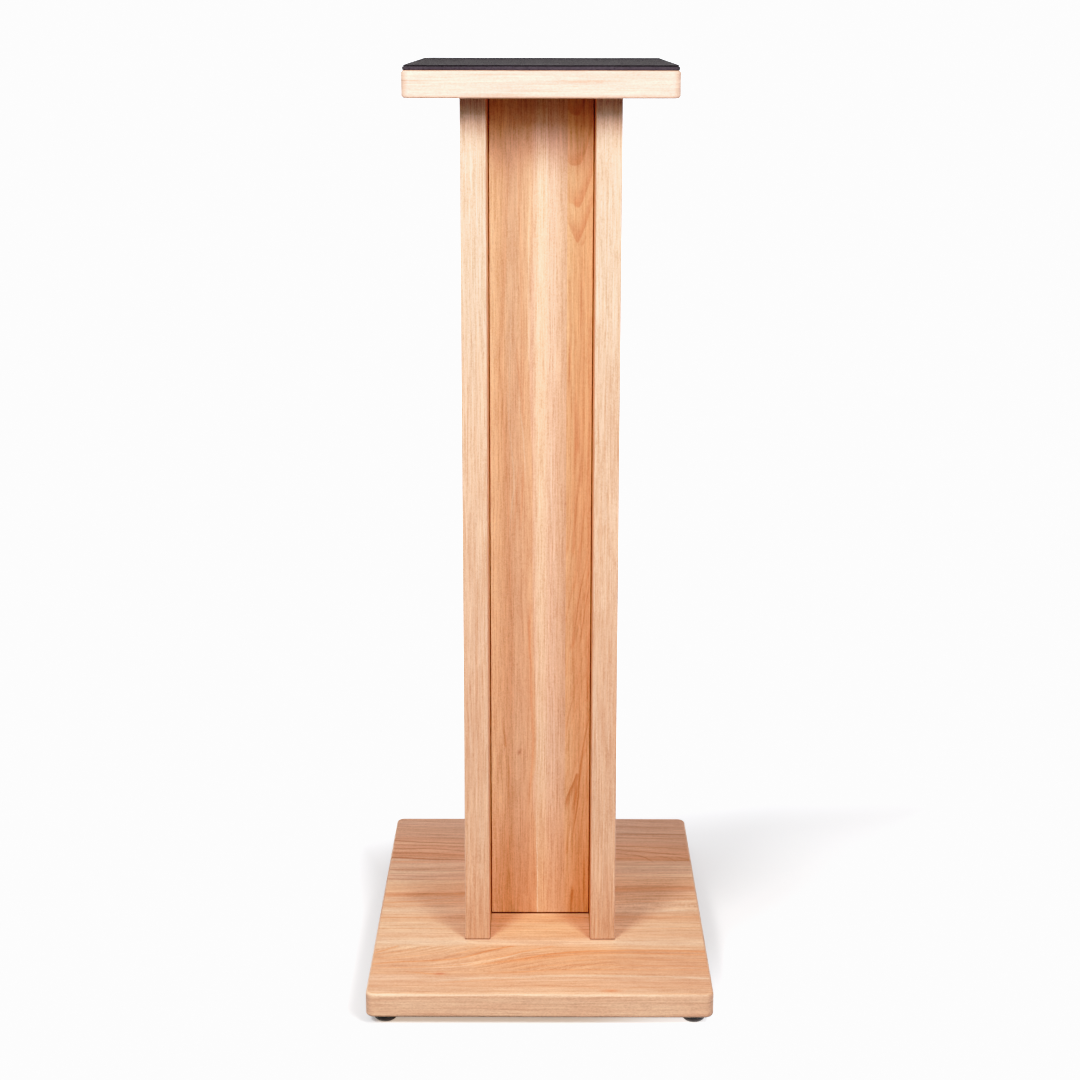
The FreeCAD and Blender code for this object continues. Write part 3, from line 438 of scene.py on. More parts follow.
RIGHT_DARK = [
    (2.3, 1.2, [(92, 30.4, 0.0), (118, 33.2, 0.3), (130, 35, 0.55), (145, 37.5, 0.85), (165, 39.8, 0.95), (185, 41, 0.85), (205, 42.8, 0.85), (225, 45.5, 0.75), (240, 48, 0.55), (254, 51, 0.3)]),
    (1.0, 6.5, [(154, 25.6, 0.0), (160, 26.8, 0.5), (165, 28, 0.75), (172, 30.5, 0.8), (180, 34, 0.85), (187, 36.5, 0.85), (192, 37.8, 0.0)]),
    (3.6, 1.0, [(124, 35, 0.1), (150, 36, 0.5), (165, 37.5, 0.85), (180, 37.8, 0.8), (191, 37.8, 0.0)]),
    (1.3, 1.0, [(325, 33.0, 0.1), (345, 35, 0.55), (362, 37, 0.7), (378, 39, 0.85), (395, 42, 0.7), (410, 45, 0.5), (425, 48, 0.3), (436, 51, 0.0)]),
    (1.3, 1.2, [(325, 39.4, 0.0), (345, 42.3, 0.6), (360, 44.3, 0.65), (375, 46.5, 0.55), (396, 50.6, 0.2)]),
    (1.2, 1.2, [(296, 32.4, 0.0), (318, 33, 0.45), (335, 33, 0.5), (350, 33.8, 0.35), (374, 36.2, 0.0)]),
    (1.2, 1.2, [(226, 25.8, 0.2), (245, 27.8, 0.45), (262, 31, 0.45), (275, 34.6, 0.3), (290, 38.6, 0.0)]),
    (1.2, 1.2, [(396, 37.6, 0.2), (420, 40, 0.4), (440, 41.5, 0.35), (470, 43.4, 0.0)]),
    (5.0, 4.5, [(506, 33, 0.0), (524, 34.4, 0.25), (543, 36.6, 0.5), (556, 36.4, 0.4), (575, 35, 0.3), (600, 33, 0.0)]),
    (1.6, 1.4, [(512, 33, 0.0), (528, 35, 0.4), (543, 37.3, 0.6), (552, 37, 0.5), (563, 36.4, 0.3), (590, 36, 0.0)]),
    (3.0, 1.6, [(424, 32.6, 0.2), (450, 34, 0.5), (470, 35.5, 0.55), (490, 37.5, 0.4), (510, 40, 0.3), (535, 41.4, 0.0)]),
    (2.0, 2.0, [(580, 26.6, 0.1), (605, 28, 0.45), (630, 28.6, 0.5), (650, 29, 0.3), (690, 28.4, 0.3), (712, 28, 0.0)]),
    (1.2, 1.2, [(640, 39.0, 0.0), (668, 39.4, 0.5), (690, 39.8, 0.4), (715, 40.2, 0.0)]),
    (1.6, 1.6, [(268, 49.2, 0.0), (281, 48.5, 0.7), (288, 48.4, 0.7), (300, 48.8, 0.35), (322, 49.2, 0.4), (350, 50, 0.0)]),
    (1.7, 1.5, [(34, 46.8, 0.6), (55, 46.2, 0.75), (75, 46, 0.85), (90, 46, 0.65), (110, 45.4, 0.4), (130, 44.6, 0.0)]),
    (3.0, 2.6, [(34, 32.6, 0.65), (48, 33, 0.8), (56, 33.5, 1.0), (62, 33.8, 0.6), (70, 34.2, 0.0)]),
    (1.1, 1.1, [(110, 41.0, 0.0), (128, 42.4, 0.4), (150, 44.6, 0.45), (175, 47.2, 0.4), (200, 50, 0.2)]),
]


def panel_material(name, turn):
    t = Wood(name)
    v = t.x if not turn else t.mad(t.x, -1.0, 3.0)
    u = t.z
    if turn:
        u = t.mad(t.z, -1.0, 905.0)
    vv = t.fibres(u, v, t.y, 3.0 if turn else 0.0)
    wob = t.noise(t.mul(u, 0.009), t.mul(v, 0.012), 3.7, 2.0, 0.5)
    ripple = t.noise(t.mul(u, 0.075), t.mul(v, 0.06), 1.3, 2.0, 0.5)
    vw = t.mad(t.sub(wob, 0.5), 6.0, v)                    # wavy across-grain coordinate
    vd = t.mad(t.sub(ripple, 0.5), 1.6, v)                 # the same for the drawn lines, a small ripple
    ud = t.mad(t.sub(ripple, 0.5), 5.0, u)
    c1, w1 = knot(t, t.mad(v, -0.5, u), v, 225.0, -22.0, 2.1, 1.2)
    vw = t.total(vw, t.mul(w1, 2.0))

    # left stave: soft bands that lean right on the way down
    lean = t.mul(t.smooth(u, 780.0, 330.0), 8.0)
    left_v = t.sub(vw, lean)
    left = t.bands(left_v, -66.0, -2.0, shade(soften([
        (-66, lin(226, 170, 127)), (-56, lin(229, 174, 132)), (-49, lin(227, 171, 129)), (-45, lin(220, 161, 117)), (-41, lin(216, 156, 112)),
        (-37, lin(219, 160, 118)), (-34, lin(227, 173, 134)), (-30, lin(225, 171, 134)), (-27, lin(217, 160, 124)), (-24, lin(225, 169, 132)),
        (-21, lin(214, 154, 117)), (-18, lin(222, 165, 128)), (-15, lin(215, 156, 119)), (-12, lin(224, 168, 130)), (-7, lin(222, 165, 125)), (-2, lin(218, 160, 118)),
    ], 0.45), K_LEFT))
    # painted light and shade: the left stave is made lighter next to the upright and darker towards the middle stave,
    # against the shade the uprights throw across it
    left = t.mix(1.0, left, t.mix(t.smooth(v, -54.0, -8.0), (1.20, 1.30, 1.38, 1.0), (0.82, 0.80, 0.80, 1.0)), "MULTIPLY")
    low_left = t.mul(t.smooth(u, 190.0, 40.0), 0.46)
    left = t.mix(low_left, left, times(lin(190, 122, 80), (1.0, 1.08, 1.15)))
    dark_left = t.lines(ud, vd, LEFT_DARK)
    pale_left = t.lines(ud, vd, LEFT_PALE)
    left = t.mix(t.mul(dark_left, 0.80), left, times(lin(200, 130, 88), (1.0, 1.08, 1.15)))
    left = t.mix(t.mul(pale_left, 0.70), left, times(CREAM, (0.84, 0.86, 0.92)))

    # middle stave: pale, straight, quarter sawn; warmer at the bottom
    mid = t.bands(t.mixf(0.5, vw, v), -12.0, 28.0, shade(soften([
        (-12, lin(226, 181, 150)), (-9.5, lin(228, 184, 153)), (-7.5, lin(234, 193, 161)), (-5, lin(241, 205, 171)), (-2, lin(246, 214, 180)),
        (1, lin(246, 213, 178)), (4, lin(246, 212, 178)), (6.5, lin(244, 209, 177)), (9, lin(243, 206, 175)),
        (12, lin(243, 206, 175)), (14, lin(248, 213, 182)), (17, lin(243, 205, 170)), (20, lin(248, 212, 176)),
        (23, lin(245, 207, 170)), (28, lin(246, 210, 172)),
    ], 0.85), (0.71, 0.67, 0.715)))
    mid = t.mix(t.mul(t.smooth(u, 230.0, 40.0), 0.6), mid, times(lin(234, 180, 128), (0.72, 0.68, 0.72)))
    mid = t.mix(t.mul(t.lines(ud, vd, MID_DARK), 0.5), mid, times(lin(224, 166, 128), K_MID))
    mid = t.mix(t.mul(t.lines(ud, vd, MID_PALE), 0.6), mid, times(lin(255, 236, 212), (0.86, 0.86, 0.92)))
    mid = t.mix(1.0, mid, (1.01, 0.975, 0.955, 1.0), "MULTIPLY")
    mid_rings = t.rings(t.mad(vw, 1 / 2.9, t.mul(t.broad, 0.9)), seed=5.1)

    # right stave: orange; arches at the top, slanted lines and a flame below
    right = t.bands(vw, 24.0, 54.0, shade(soften([
        (24, lin(230, 170, 118)), (28, lin(227, 163, 111)), (31, lin(229, 167, 115)), (35, lin(223, 156, 104)), (38, lin(226, 160, 108)),
        (41, lin(221, 153, 102)), (45, lin(228, 163, 110)), (48, lin(220, 151, 100)), (51, lin(223, 156, 104)), (54, RUSSET),
    ], 0.8), K_RIGHT))
    arches = t.lines(vd, ud, ARCHES)
    lines_right = t.lines(ud, vd, RIGHT_DARK)
    dark_right = t.math("MAXIMUM", arches, lines_right)
    slant = t.rings(t.mad(t.mad(t.smooth(u, 520.0, 40.0), 78.0, vw), 1 / 6.8, t.mul(t.sub(t.broad, 0.5), 1.6)), 0.85, 11.0)
    straight = t.rings(t.mad(vw, 1 / 4.4, t.mul(t.sub(t.broad, 0.5), 1.6)), 0.86, 4.0)
    low_on = t.smooth(u, 560.0, 430.0)
    right_rings = t.mul(t.mixf(low_on, straight, slant), t.mul(t.smooth(u, 760.0, 700.0), 0.40))
    right = t.mix(t.mul(t.mul(t.smooth(u, 210.0, 60.0), t.smooth(v, 28.0, 42.0)), 0.30), right, times(lin(200, 122, 80), (1.0, 1.15, 1.3)))
    right = t.mix(t.mul(t.smooth(u, 130.0, 40.0), 0.24), right, times(lin(190, 108, 66), (1.0, 1.1, 1.2)))
    right = t.mix(t.mul(arches, 0.64), right, times(lin(190, 112, 68), (1.0, 1.15, 1.3)))
    right = t.mix(t.mul(lines_right, 0.80), right, times(lin(180, 100, 58), (1.0, 1.15, 1.3)))

    # where one stave ends and the next begins
    bound = t.mad(t.table(t.range(u, 34.0, 886.0), [
        (0.0, 0.80), (0.11, 0.75), (0.154, 0.40), (0.183, 0.56), (0.218, 0.75), (0.255, 0.72), (0.295, 0.62), (0.325, 0.50), (0.38, 0.42),
        (0.46, 0.38), (0.55, 0.36), (0.62, 0.20), (0.71, 0.06), (0.85, 0.30), (1.0, 0.40),
    ]), 10.0, -12.0)
    blur = t.smooth(u, 560.0, 700.0, 0.5, 3.4)
    is_mid = t.smooth(t.math("DIVIDE", t.sub(t.mad(t.sub(ripple, 0.5), 1.2, v), bound), blur), -1.0, 1.0)
    is_right = t.smooth(t.math("DIVIDE", t.sub(v, 25.5), t.smooth(u, 260.0, 150.0, 0.35, 2.6)), -1.0, 1.0)
    base = t.mix(is_right, t.mix(is_mid, left, mid), right)
    rings = t.mixf(is_right, t.mixf(is_mid, 0.0, t.mul(mid_rings, 0.12)), right_rings)
    line_col = t.mix(is_right, times(lin(214, 158, 122), K_MID), lin(190, 114, 70))
    col = t.dress(base, rings, line_col, 0.9, t.mixf(is_right, t.mixf(is_mid, 1.30, 1.35), 1.10), wide=t.mixf(is_right, t.mixf(is_mid, 0.50, 0.45), 0.65))
    col = t.mix(t.mul(c1, 0.55), col, lin(150, 84, 60))
    # narrow edges of the panel are plain banding
    band = t.dress(band_face(t, lin(224, 170, 124), lin(208, 148, 102)), 0.0, RUSSET, 0.0, 0.8)
    on_face = face_mask(t, 1)
    col = t.mix(on_face, band, col)
    col = edge_wear(t, 1, CREAM, col, 0.12)
    seam = t.mul(t.smooth(t.math("ABSOLUTE", t.sub(v, 25.5)), 0.35, 0.05), t.smooth(u, 220.0, 300.0))
    col = t.mix(t.mul(seam, 0.10), col, DARK)
    # painted shade where the panel meets the plates: darker and redder under the top plate, and a dark line along the
    # lowest edge over the base; between them the middle height is a little pinker
    col = t.mix(1.0, col, t.mix(t.smooth(t.z, 850.0, 880.0), (1.0, 1.0, 1.0, 1.0), (0.72, 0.77, 0.60, 1.0)), "MULTIPLY")
    col = t.mix(1.0, col, t.mix(t.mul(t.smooth(t.z, 690.0, 560.0), t.smooth(t.z, 210.0, 300.0)), (1.0, 1.0, 1.0, 1.0), (1.0, 0.955, 0.935, 1.0)), "MULTIPLY")
    col = t.mix(t.mul(t.smooth(t.z, 36.1, 35.5), 0.78), col, lin(96, 56, 38))
    return t.satin(col, t.math("MAXIMUM", rings, t.mul(t.mixf(is_right, t.mixf(is_mid, dark_left, 0.0), dark_right), 0.6)))


# ---- base plate and top plate: staves from front to back, grain left to right

PLATE_DARK = [
    (2.2, 1.7, [(-168.5, -143, 0.6), (-160, -137, 0.8), (-150, -129, 0.8), (-138, -119, 0.7)]),
    (1.7, 1.5, [(-168.5, -150, 0.3), (-150, -142, 0.45), (-130, -135, 0.4), (-99, -119, 0.4)]),
    (1.7, 1.5, [(-168.5, -157.5, 0.35), (-130, -150, 0.4), (-105, -142, 0.4), (-90, -133, 0.4), (-58, -119, 0.4)]),
    (3.7, 1.9, [(-168.5, -168, 0.5), (-140, -163, 0.7), (-110, -160, 0.75), (-85, -155, 0.75), (-70, -148, 0.8), (-55, -138, 0.8), (-40, -130, 0.75), (-15, -119, 0.7)]),
    (1.7, 1.7, [(-94, -149, 0.0), (-75, -138, 0.5), (-65, -130, 0.45), (-52, -119, 0.4)]),
    (2.7, 1.7, [(-168.5, -177, 0.3), (-130, -176, 0.45), (-90, -172, 0.5), (-70, -166, 0.55), (-50, -157, 0.55), (-30, -146, 0.55), (-15, -137, 0.5), (0, -130, 0.5), (28, -119, 0.4)]),
    (5.8, 2.2, [(-72, -171, 0.0), (-50, -165, 0.5), (-30, -159.5, 0.7), (-10, -152, 0.8), (10, -144, 0.8), (40, -137.5, 0.75), (70, -135, 0.75), (110, -134, 0.7), (169, -136, 0.6)]),
    (3.7, 2.7, [(-48, -168, 0.0), (-10, -157, 0.5), (20, -148.5, 0.55), (40, -144, 0.5), (80, -142, 0.5), (169, -145, 0.4)]),
    (2.7, 2.0, [(-36, -180, 0.0), (0, -173, 0.35), (30, -169.5, 0.35), (80, -170, 0.3), (169, -173, 0.3)]),
    (3.1, 2.4, [(-72, -192, 0.0), (-20, -186, 0.4), (20, -181, 0.45), (60, -180, 0.4), (169, -180, 0.3)]),
    (2.0, 1.7, [(10, -164, 0.0), (50, -158, 0.35), (100, -156, 0.3), (169, -158, 0.25)]),
    (2.2, 2.2, [(-100, -211, 0.0), (-80, -209, 0.35), (-50, -206.5, 0.35), (-15, -206, 0.0)]),
    (2.0, 2.0, [(-134, -186.8, 0.0), (-122, -188.6, 0.5), (-108, -190.6, 0.7), (-100, -191.6, 0.4), (-92, -192, 0.0)]),
    (2.4, 2.0, [(-169, -16, 0.3), (-150, -13, 0.5), (-120, -8, 0.45), (-85, -0.5, 0.3)]),
    (2.0, 2.0, [(-169, -27, 0.3), (-130, -21, 0.3), (-85, -12, 0.2)]),
    (2.2, 2.0, [(82, -13, 0.2), (100, -10.5, 0.35), (120, -8.5, 0.4), (169, -2, 0.3)]),
    (1.7, 1.7, [(-169, -54, 0.3), (-60, -55, 0.25), (60, -52, 0.3), (169, -50, 0.3)]),
    (1.7, 1.7, [(-169, -82, 0.25), (0, -84, 0.25), (169, -79, 0.3)]),
    (2.0, 2.0, [(-169, 77, 0.4), (-85, 75, 0.35), (85, 92, 0.0), (120, 93, 0.35), (169, 92, 0.35)]),
    (2.0, 2.0, [(-169, 60, 0.35), (-85, 58, 0.35), (85, 58, 0.4), (169, 56, 0.4)]),
    (1.9, 1.9, [(-169, 50.5, 0.5), (-120, 49.5, 0.4), (-85, 49, 0.3)]),
    (5.2, 3.4, [(-169, 114, 0.7), (-150, 112, 0.75), (-130, 109.5, 0.75), (-100, 107, 0.6), (-84, 106, 0.4)]),
    (4.1, 2.4, [(-169, 139, 0.3), (-140, 140, 0.5), (-110, 137.5, 0.5), (-84, 133, 0.45)]),
    (3.4, 2.4, [(-169, 127, 0.35), (-130, 126, 0.45), (-84, 119, 0.4)]),
    (2.7, 2.2, [(84, 126.5, 0.5), (100, 123, 0.55), (110, 120, 0.6), (120, 112, 0.6), (126, 103.5, 0.45)]),
    (3.1, 2.2, [(84, 138.5, 0.45), (110, 133, 0.5), (140, 127, 0.5), (169, 120, 0.5)]),
    (2.5, 2.2, [(128, 121, 0.0), (138, 116.5, 0.4), (145, 112, 0.45), (151, 103.5, 0.4)]),
    (2.5, 2.2, [(148, 119, 0.0), (158, 113.5, 0.4), (169, 107.5, 0.45)]),
    (3.4, 2.5, [(84, 149, 0.4), (120, 146, 0.4), (169, 138, 0.4)]),
    (2.9, 2.4, [(-169, 151, 0.35), (-120, 150, 0.4), (-84, 146, 0.35)]),
    (2.7, 2.4, [(-169, 163, 0.55), (-120, 158, 0.5), (-80, 155, 0.45)]),
    (2.7, 2.7, [(-169, 188, 0.2), (-90, 182, 0.3), (80, 175, 0.35), (169, 171, 0.35)]),
    (3.4, 3.0, [(60, 186, 0.0), (100, 185.5, 0.4), (169, 185, 0.45)]),
    (2.5, 2.5, [(-169, 216, 0.25), (0, 211, 0.25), (169, 208, 0.25)]),
]
PLATE_PALE = [
    (1.7, 1.7, [(-112, -175, 0.0), (-85, -169.5, 0.4), (-60, -162, 0.5), (-30, -150, 0.5), (-20, -143, 0.5), (0, -137, 0.3), (16, -131, 0.0)]),
    (2.0, 2.0, [(-116, -208, 0.0), (-60, -201, 0.5), (-20, -199, 0.5), (40, -196, 0.0)]),
    (4.0, 3.4, [(-34, -198.5, 0.0), (0, -196, 0.4), (60, -194.5, 0.5), (110, -196, 0.45), (169, -200, 0.4)]),
    (1.7, 1.7, [(-169, -3, 0.35), (-150, -1.5, 0.6), (-136, -1, 0.3), (-100, 5, 0.0)]),
    (1.7, 1.7, [(84, -20, 0.2), (120, -15, 0.4), (169, -9, 0.4)]),
    (1.9, 1.9, [(-169, 81, 0.55), (-85, 79, 0.5), (85, 84, 0.3), (169, 82, 0.3)]),
    (1.9, 1.9, [(-169, 70, 0.5), (-85, 69, 0.45), (85, 67, 0.3), (169, 65, 0.3)]),
    (1.7, 1.7, [(-169, 52.6, 0.5), (-85, 51.6, 0.5), (85, 52, 0.4), (169, 51, 0.35)]),
    (2.2, 2.2, [(-169, 206, 0.45), (-90, 200, 0.45), (60, 182, 0.3), (169, 179, 0.4)]),
    (1.9, 1.9, [(-169, 159.5, 0.4), (-120, 154.5, 0.4), (-80, 151.6, 0.3)]),
    (1.9, 1.9, [(-169, -112, 0.35), (0, -114, 0.4), (169, -110, 0.35)]),
    (1.7, 1.7, [(-169, -67, 0.4), (0, -70, 0.4), (169, -66, 0.4)]),
    (1.7, 1.7, [(-169, -38, 0.3), (0, -40, 0.4), (169, -33, 0.4)]),
]


def plate_material(name, shift, flip=False, edge=("a", "b")):
    t = Wood(name)
    u = t.x if not flip else t.mad(t.x, -1.0, 61.0)
    v = t.sub(t.y, shift)
    # the grain behind the column climbs slightly to the right, in the second stave it sweeps up, at the back it falls
    climb = t.mul(t.mul(t.smooth(u, -170.0, 170.0), 20.0), t.mul(t.smooth(v, -40.0, 0.0), t.smooth(v, 200.0, 60.0)))
    in_arcs = t.mul(t.smooth(v, -186.0, -181.0), t.smooth(v, -124.2, -125.6))
    sweep = t.smooth(t.mad(t.sub(v, -160.0), 3.0, u), -190.0, 110.0)
    tilt = t.mul(t.smooth(v, 101.0, 105.0), t.mul(u, 0.09))
    vf = t.total(v, t.mul(t.mul(sweep, in_arcs), -40.0), t.mul(climb, -1.0), tilt)
    vv = t.fibres(u, vf, t.mul(t.z, 1.0), 11.0 if flip else 5.0)
    wob = t.noise(t.mul(u, 0.0065), t.mul(v, 0.013), 8.2, 2.0, 0.5)
    ripple = t.noise(t.mul(u, 0.05), t.mul(v, 0.045), 2.7, 2.0, 0.5)
    vw = t.mad(t.sub(wob, 0.5), 6.0, v)
    vd = t.mad(t.sub(ripple, 0.5), 3.0, v)
    ud = t.mad(t.sub(ripple, 0.5), 5.0, u)
    c1, w1 = knot(t, u, v, -99.0, -191.0, 2.6, 2.2)
    c2, w2 = knot(t, u, v, 69.5, -228.5, 3.0, 3.0)
    vw = t.total(vw, t.mul(w1, 4.0), t.mul(w2, 3.0))
    back = t.add(t.sub(vw, climb), tilt)

    stripes = t.bands(back, -240.0, 245.0, shade(shade(soften([
        (-240, lin(230, 178, 136)), (-226, lin(232, 182, 141)), (-213, lin(229, 175, 133)), (-203, lin(232, 182, 142)),
        (-196, lin(234, 184, 144)), (-192, lin(230, 175, 131)), (-184, lin(232, 177, 134)),
        (-160, lin(233, 175, 130)), (-136, lin(235, 180, 135)), (-123, lin(240, 194, 152)), (-118, lin(242, 200, 161)),
        (-100, lin(236, 186, 144)), (-78, lin(240, 194, 152)), (-52, lin(234, 182, 138)), (-36, lin(241, 198, 158)),
        (-14, lin(236, 184, 140)), (-6, lin(236, 187, 146)), (-1, lin(231, 178, 136)), (3, lin(212, 144, 100)), (8, lin(206, 136, 92)), (14, lin(222, 160, 117)),
        (30, lin(227, 168, 125)), (44, lin(232, 180, 139)), (49, lin(218, 162, 124)), (56, lin(222, 170, 133)), (62, lin(216, 162, 125)),
        (70, lin(230, 182, 144)), (78, lin(216, 160, 122)), (92, lin(224, 170, 132)), (100, lin(216, 152, 112)), (104, lin(208, 140, 98)),
        (112, lin(206, 136, 94)),
    ], 0.92), K_FRONT, hi=0.0), K_BACK, lo=0.1))
    rear = t.bands(back, 100.0, 245.0, shade(soften([
        (100, lin(200, 126, 86)), (108, lin(206, 134, 92)), (116, lin(210, 142, 100)), (124, lin(218, 154, 112)), (133, lin(210, 143, 103)),
        (145, lin(218, 156, 114)), (152, lin(208, 145, 105)), (163, lin(204, 142, 104)), (172, lin(212, 156, 118)),
        (184, lin(208, 150, 112)), (196, lin(206, 150, 114)), (204, lin(215, 162, 126)), (214, lin(208, 152, 116)), (228, lin(212, 157, 121)), (245, lin(206, 150, 116)),
    ], 0.85), K_REAR))
    base = t.mix(t.smooth(back, 104.0, 112.0), stripes, rear)

    drawn_dark = t.lines(ud, vd, PLATE_DARK)
    drawn_pale = t.lines(ud, vd, PLATE_PALE)
    # the arcs end where the next stave begins
    hold = t.sub(1.0, t.mul(t.smooth(v, -125.2, -124.4), t.smooth(v, -112.0, -115.0)))
    drawn_dark = t.mul(drawn_dark, hold)
    flat = t.rings(t.mad(back, 1 / 6.1, t.mul(t.sub(t.broad, 0.5), 1.9)), 0.86, 1.0)
    fine = t.rings(t.mad(back, 1 / 3.2, t.mul(t.broad, 1.2)), 0.80, 9.0)
    in_rear = t.mul(t.smooth(v, 101.0, 106.0), t.smooth(v, 166.0, 160.0))
    rings = t.mul(t.math("MAXIMUM", t.mul(flat, 0.26), t.mul(fine, 0.22)), t.sub(1.0, t.math("MAXIMUM", in_arcs, in_rear)))
    glow = t.mul(t.mul(in_arcs, t.smooth(t.math("ABSOLUTE", t.sub(u, 25.0)), 130.0, 20.0)), 0.26)
    base = t.mix(glow, base, times(lin(232, 162, 110), (0.80, 0.88, 1.02)))
    hair = t.noise(t.mul(u, 0.006), t.mul(vf, 0.40), 4.4, 3.0, 0.62)
    base = t.mix(t.mul(t.smooth(hair, 0.53, 0.70), 0.42), base, t.mix(1.0, base, (1.16, 1.24, 1.34, 1.0), "MULTIPLY"))
    base = t.mix(t.mul(t.smooth(hair, 0.46, 0.30), 0.42), base, t.mix(1.0, base, (0.90, 0.80, 0.70, 1.0), "MULTIPLY"))
    base = t.mix(1.0, base, t.mix(t.smooth(u, 40.0, 160.0), (1.0, 1.0, 1.0, 1.0), (0.92, 0.90, 0.88, 1.0)), "MULTIPLY")
    base = t.mix(1.0, base, t.mix(t.smooth(v, -126.0, -142.0), (1.0, 1.0, 1.0, 1.0), (0.945, 0.95, 0.965, 1.0)), "MULTIPLY")
    pale_col = t.mix(t.smooth(v, -20.0, 20.0), times(lin(250, 224, 194), (0.92, 0.92, 0.98)), lin(238, 192, 158))
    line_col = t.mix(t.smooth(v, -10.0, 40.0), lin(214, 138, 88), lin(180, 112, 78))
    base = t.mix(t.mul(drawn_dark, t.smooth(v, 90.0, 102.0, 0.95, 1.15)), base, line_col)
    base = t.mix(t.mul(drawn_pale, 0.70), base, pale_col)
    col = t.dress(base, rings, line_col, 0.7, 1.35, wide=0.85)
    col = t.mix(t.mul(c1, 0.70), col, lin(176, 100, 68))
    col = t.mix(t.mul(c2, 0.62), col, lin(196, 112, 62))
    for at in (-196.5, -124.6, 48.5, 103.0):      # glue lines between the staves
        col = t.mix(t.mul(t.smooth(t.math("ABSOLUTE", t.sub(v, at)), 0.45, 0.1), 0.16), col, DARK)

    # painted warm bounce light: the board is a little yellower between the uprights in front; the board is also redder
    # at the very back
    recess_bounce_tint = t.mul(t.mul(t.smooth(t.math("ABSOLUTE", t.x), 56.0, 40.0), t.smooth(t.y, -116.0, -96.0)), t.smooth(t.y, -38.0, -44.0))
    col = t.mix(1.0, col, t.mix(recess_bounce_tint, (1.0, 1.0, 1.0, 1.0), (1.0, 0.99, 0.92, 1.0)), "MULTIPLY")
    # painted shade: a dark line on the base along the foot of each panel of the column
    y_in = t.smooth(t.math("ABSOLUTE", t.y), 42.4, 41.8)
    panel_foot_shade = t.mul(t.mul(y_in, t.smooth(t.math("ABSOLUTE", t.x), 51.9, 51.4)), t.smooth(t.z, 40.0, 35.0))
    col = t.mix(t.mul(panel_foot_shade, 0.85), col, lin(80, 46, 32))
    # painted shade: a dark ring on the base round the foot of each upright
    end_y = t.math("ABSOLUTE", t.y)
    end_x = t.math("ABSOLUTE", t.x)
    upright_foot_shade = t.mul(t.mul(t.smooth(end_y, 109.5, 109.0), t.smooth(end_x, 77.5, 77.0)), t.mul(t.smooth(end_x, 50.9, 51.3), t.smooth(t.z, 40.0, 35.0)))
    col = t.mix(t.mul(upright_foot_shade, 0.55), col, lin(110, 66, 46))

    # edge band all round: thin level lines, a little greyer
    b_warp = t.mad(t.sub(t.noise(t.mul(t.x, 0.008), t.mul(t.y, 0.008), t.mul(t.z, 0.05), 2.0), 0.5), 5.0, t.z)
    b_line = t.noise(t.mul(t.x, 0.010), t.mul(t.y, 0.010), t.mul(b_warp, 0.75), 3.0, 0.62)
    b_fine = t.noise(t.mul(t.x, 0.045), t.mul(t.y, 0.045), t.mul(b_warp, 2.6), 2.0, 0.6)
    b_broad = t.noise(t.mul(t.x, 0.012), t.mul(t.y, 0.012), t.mul(b_warp, 0.20), 2.0, 0.5)
    b_dash = t.smooth(t.noise(t.mul(t.x, 0.12), t.mul(t.y, 0.12), t.mul(t.z, 3.0), 1.0), 0.60, 0.74)
    band = t.mix(t.smooth(b_broad, 0.30, 0.70), edge[0], edge[1])
    b_fleck = t.noise(t.mul(t.x, 0.50), t.mul(t.y, 0.50), t.mul(b_warp, 1.1), 1.0, 0.6)
    bk = t.total(t.mul(t.sub(b_line, 0.5), 0.62), t.mul(t.sub(b_fine, 0.5), 0.44), t.mul(t.sub(b_fleck, 0.5), 0.50), 1.0)
    band = t.gain(band, bk)
    band = t.mix(t.mul(t.smooth(b_line, 0.46, 0.30), 0.30), band, lin(180, 128, 94))
    band = t.mix(t.mul(b_dash, 0.30), band, lin(150, 100, 72))
    on_face = face_mask(t, 2, 0.86, 0.975)
    col = t.mix(on_face, band, col)
    nz = t.normal()[2]
    joint = t.mul(t.smooth(nz, 0.76, 0.86), t.smooth(nz, 0.99, 0.92))
    col = t.mix(t.mul(joint, 0.12), col, lin(176, 124, 92))
    col = edge_wear(t, 2, CREAM, col, 0.04)
    h_mix = t.mixf(on_face, t.mul(t.add(b_line, b_fine), 0.6), t.total(t.mul(t.fine, 0.35), t.mul(t.streak, 0.30), t.mul(t.math("MAXIMUM", rings, t.mul(drawn_dark, 0.5)), -0.25)))
    pores = t.mixf(on_face, b_dash, t.pores)
    h = t.mad(pores, -0.9, h_mix)
    r = t.total(t.mul(t.sub(t.streak, 0.5), 0.14), t.mul(t.sub(t.mottle, 0.5), 0.12), t.mul(pores, 0.18), 0.45)
    return t.finish(col, r, t.bump(h, 0.00010, 0.55), 0.42)


# ---- uprights: wide faces in staves from front to back, narrow edges plain and pale

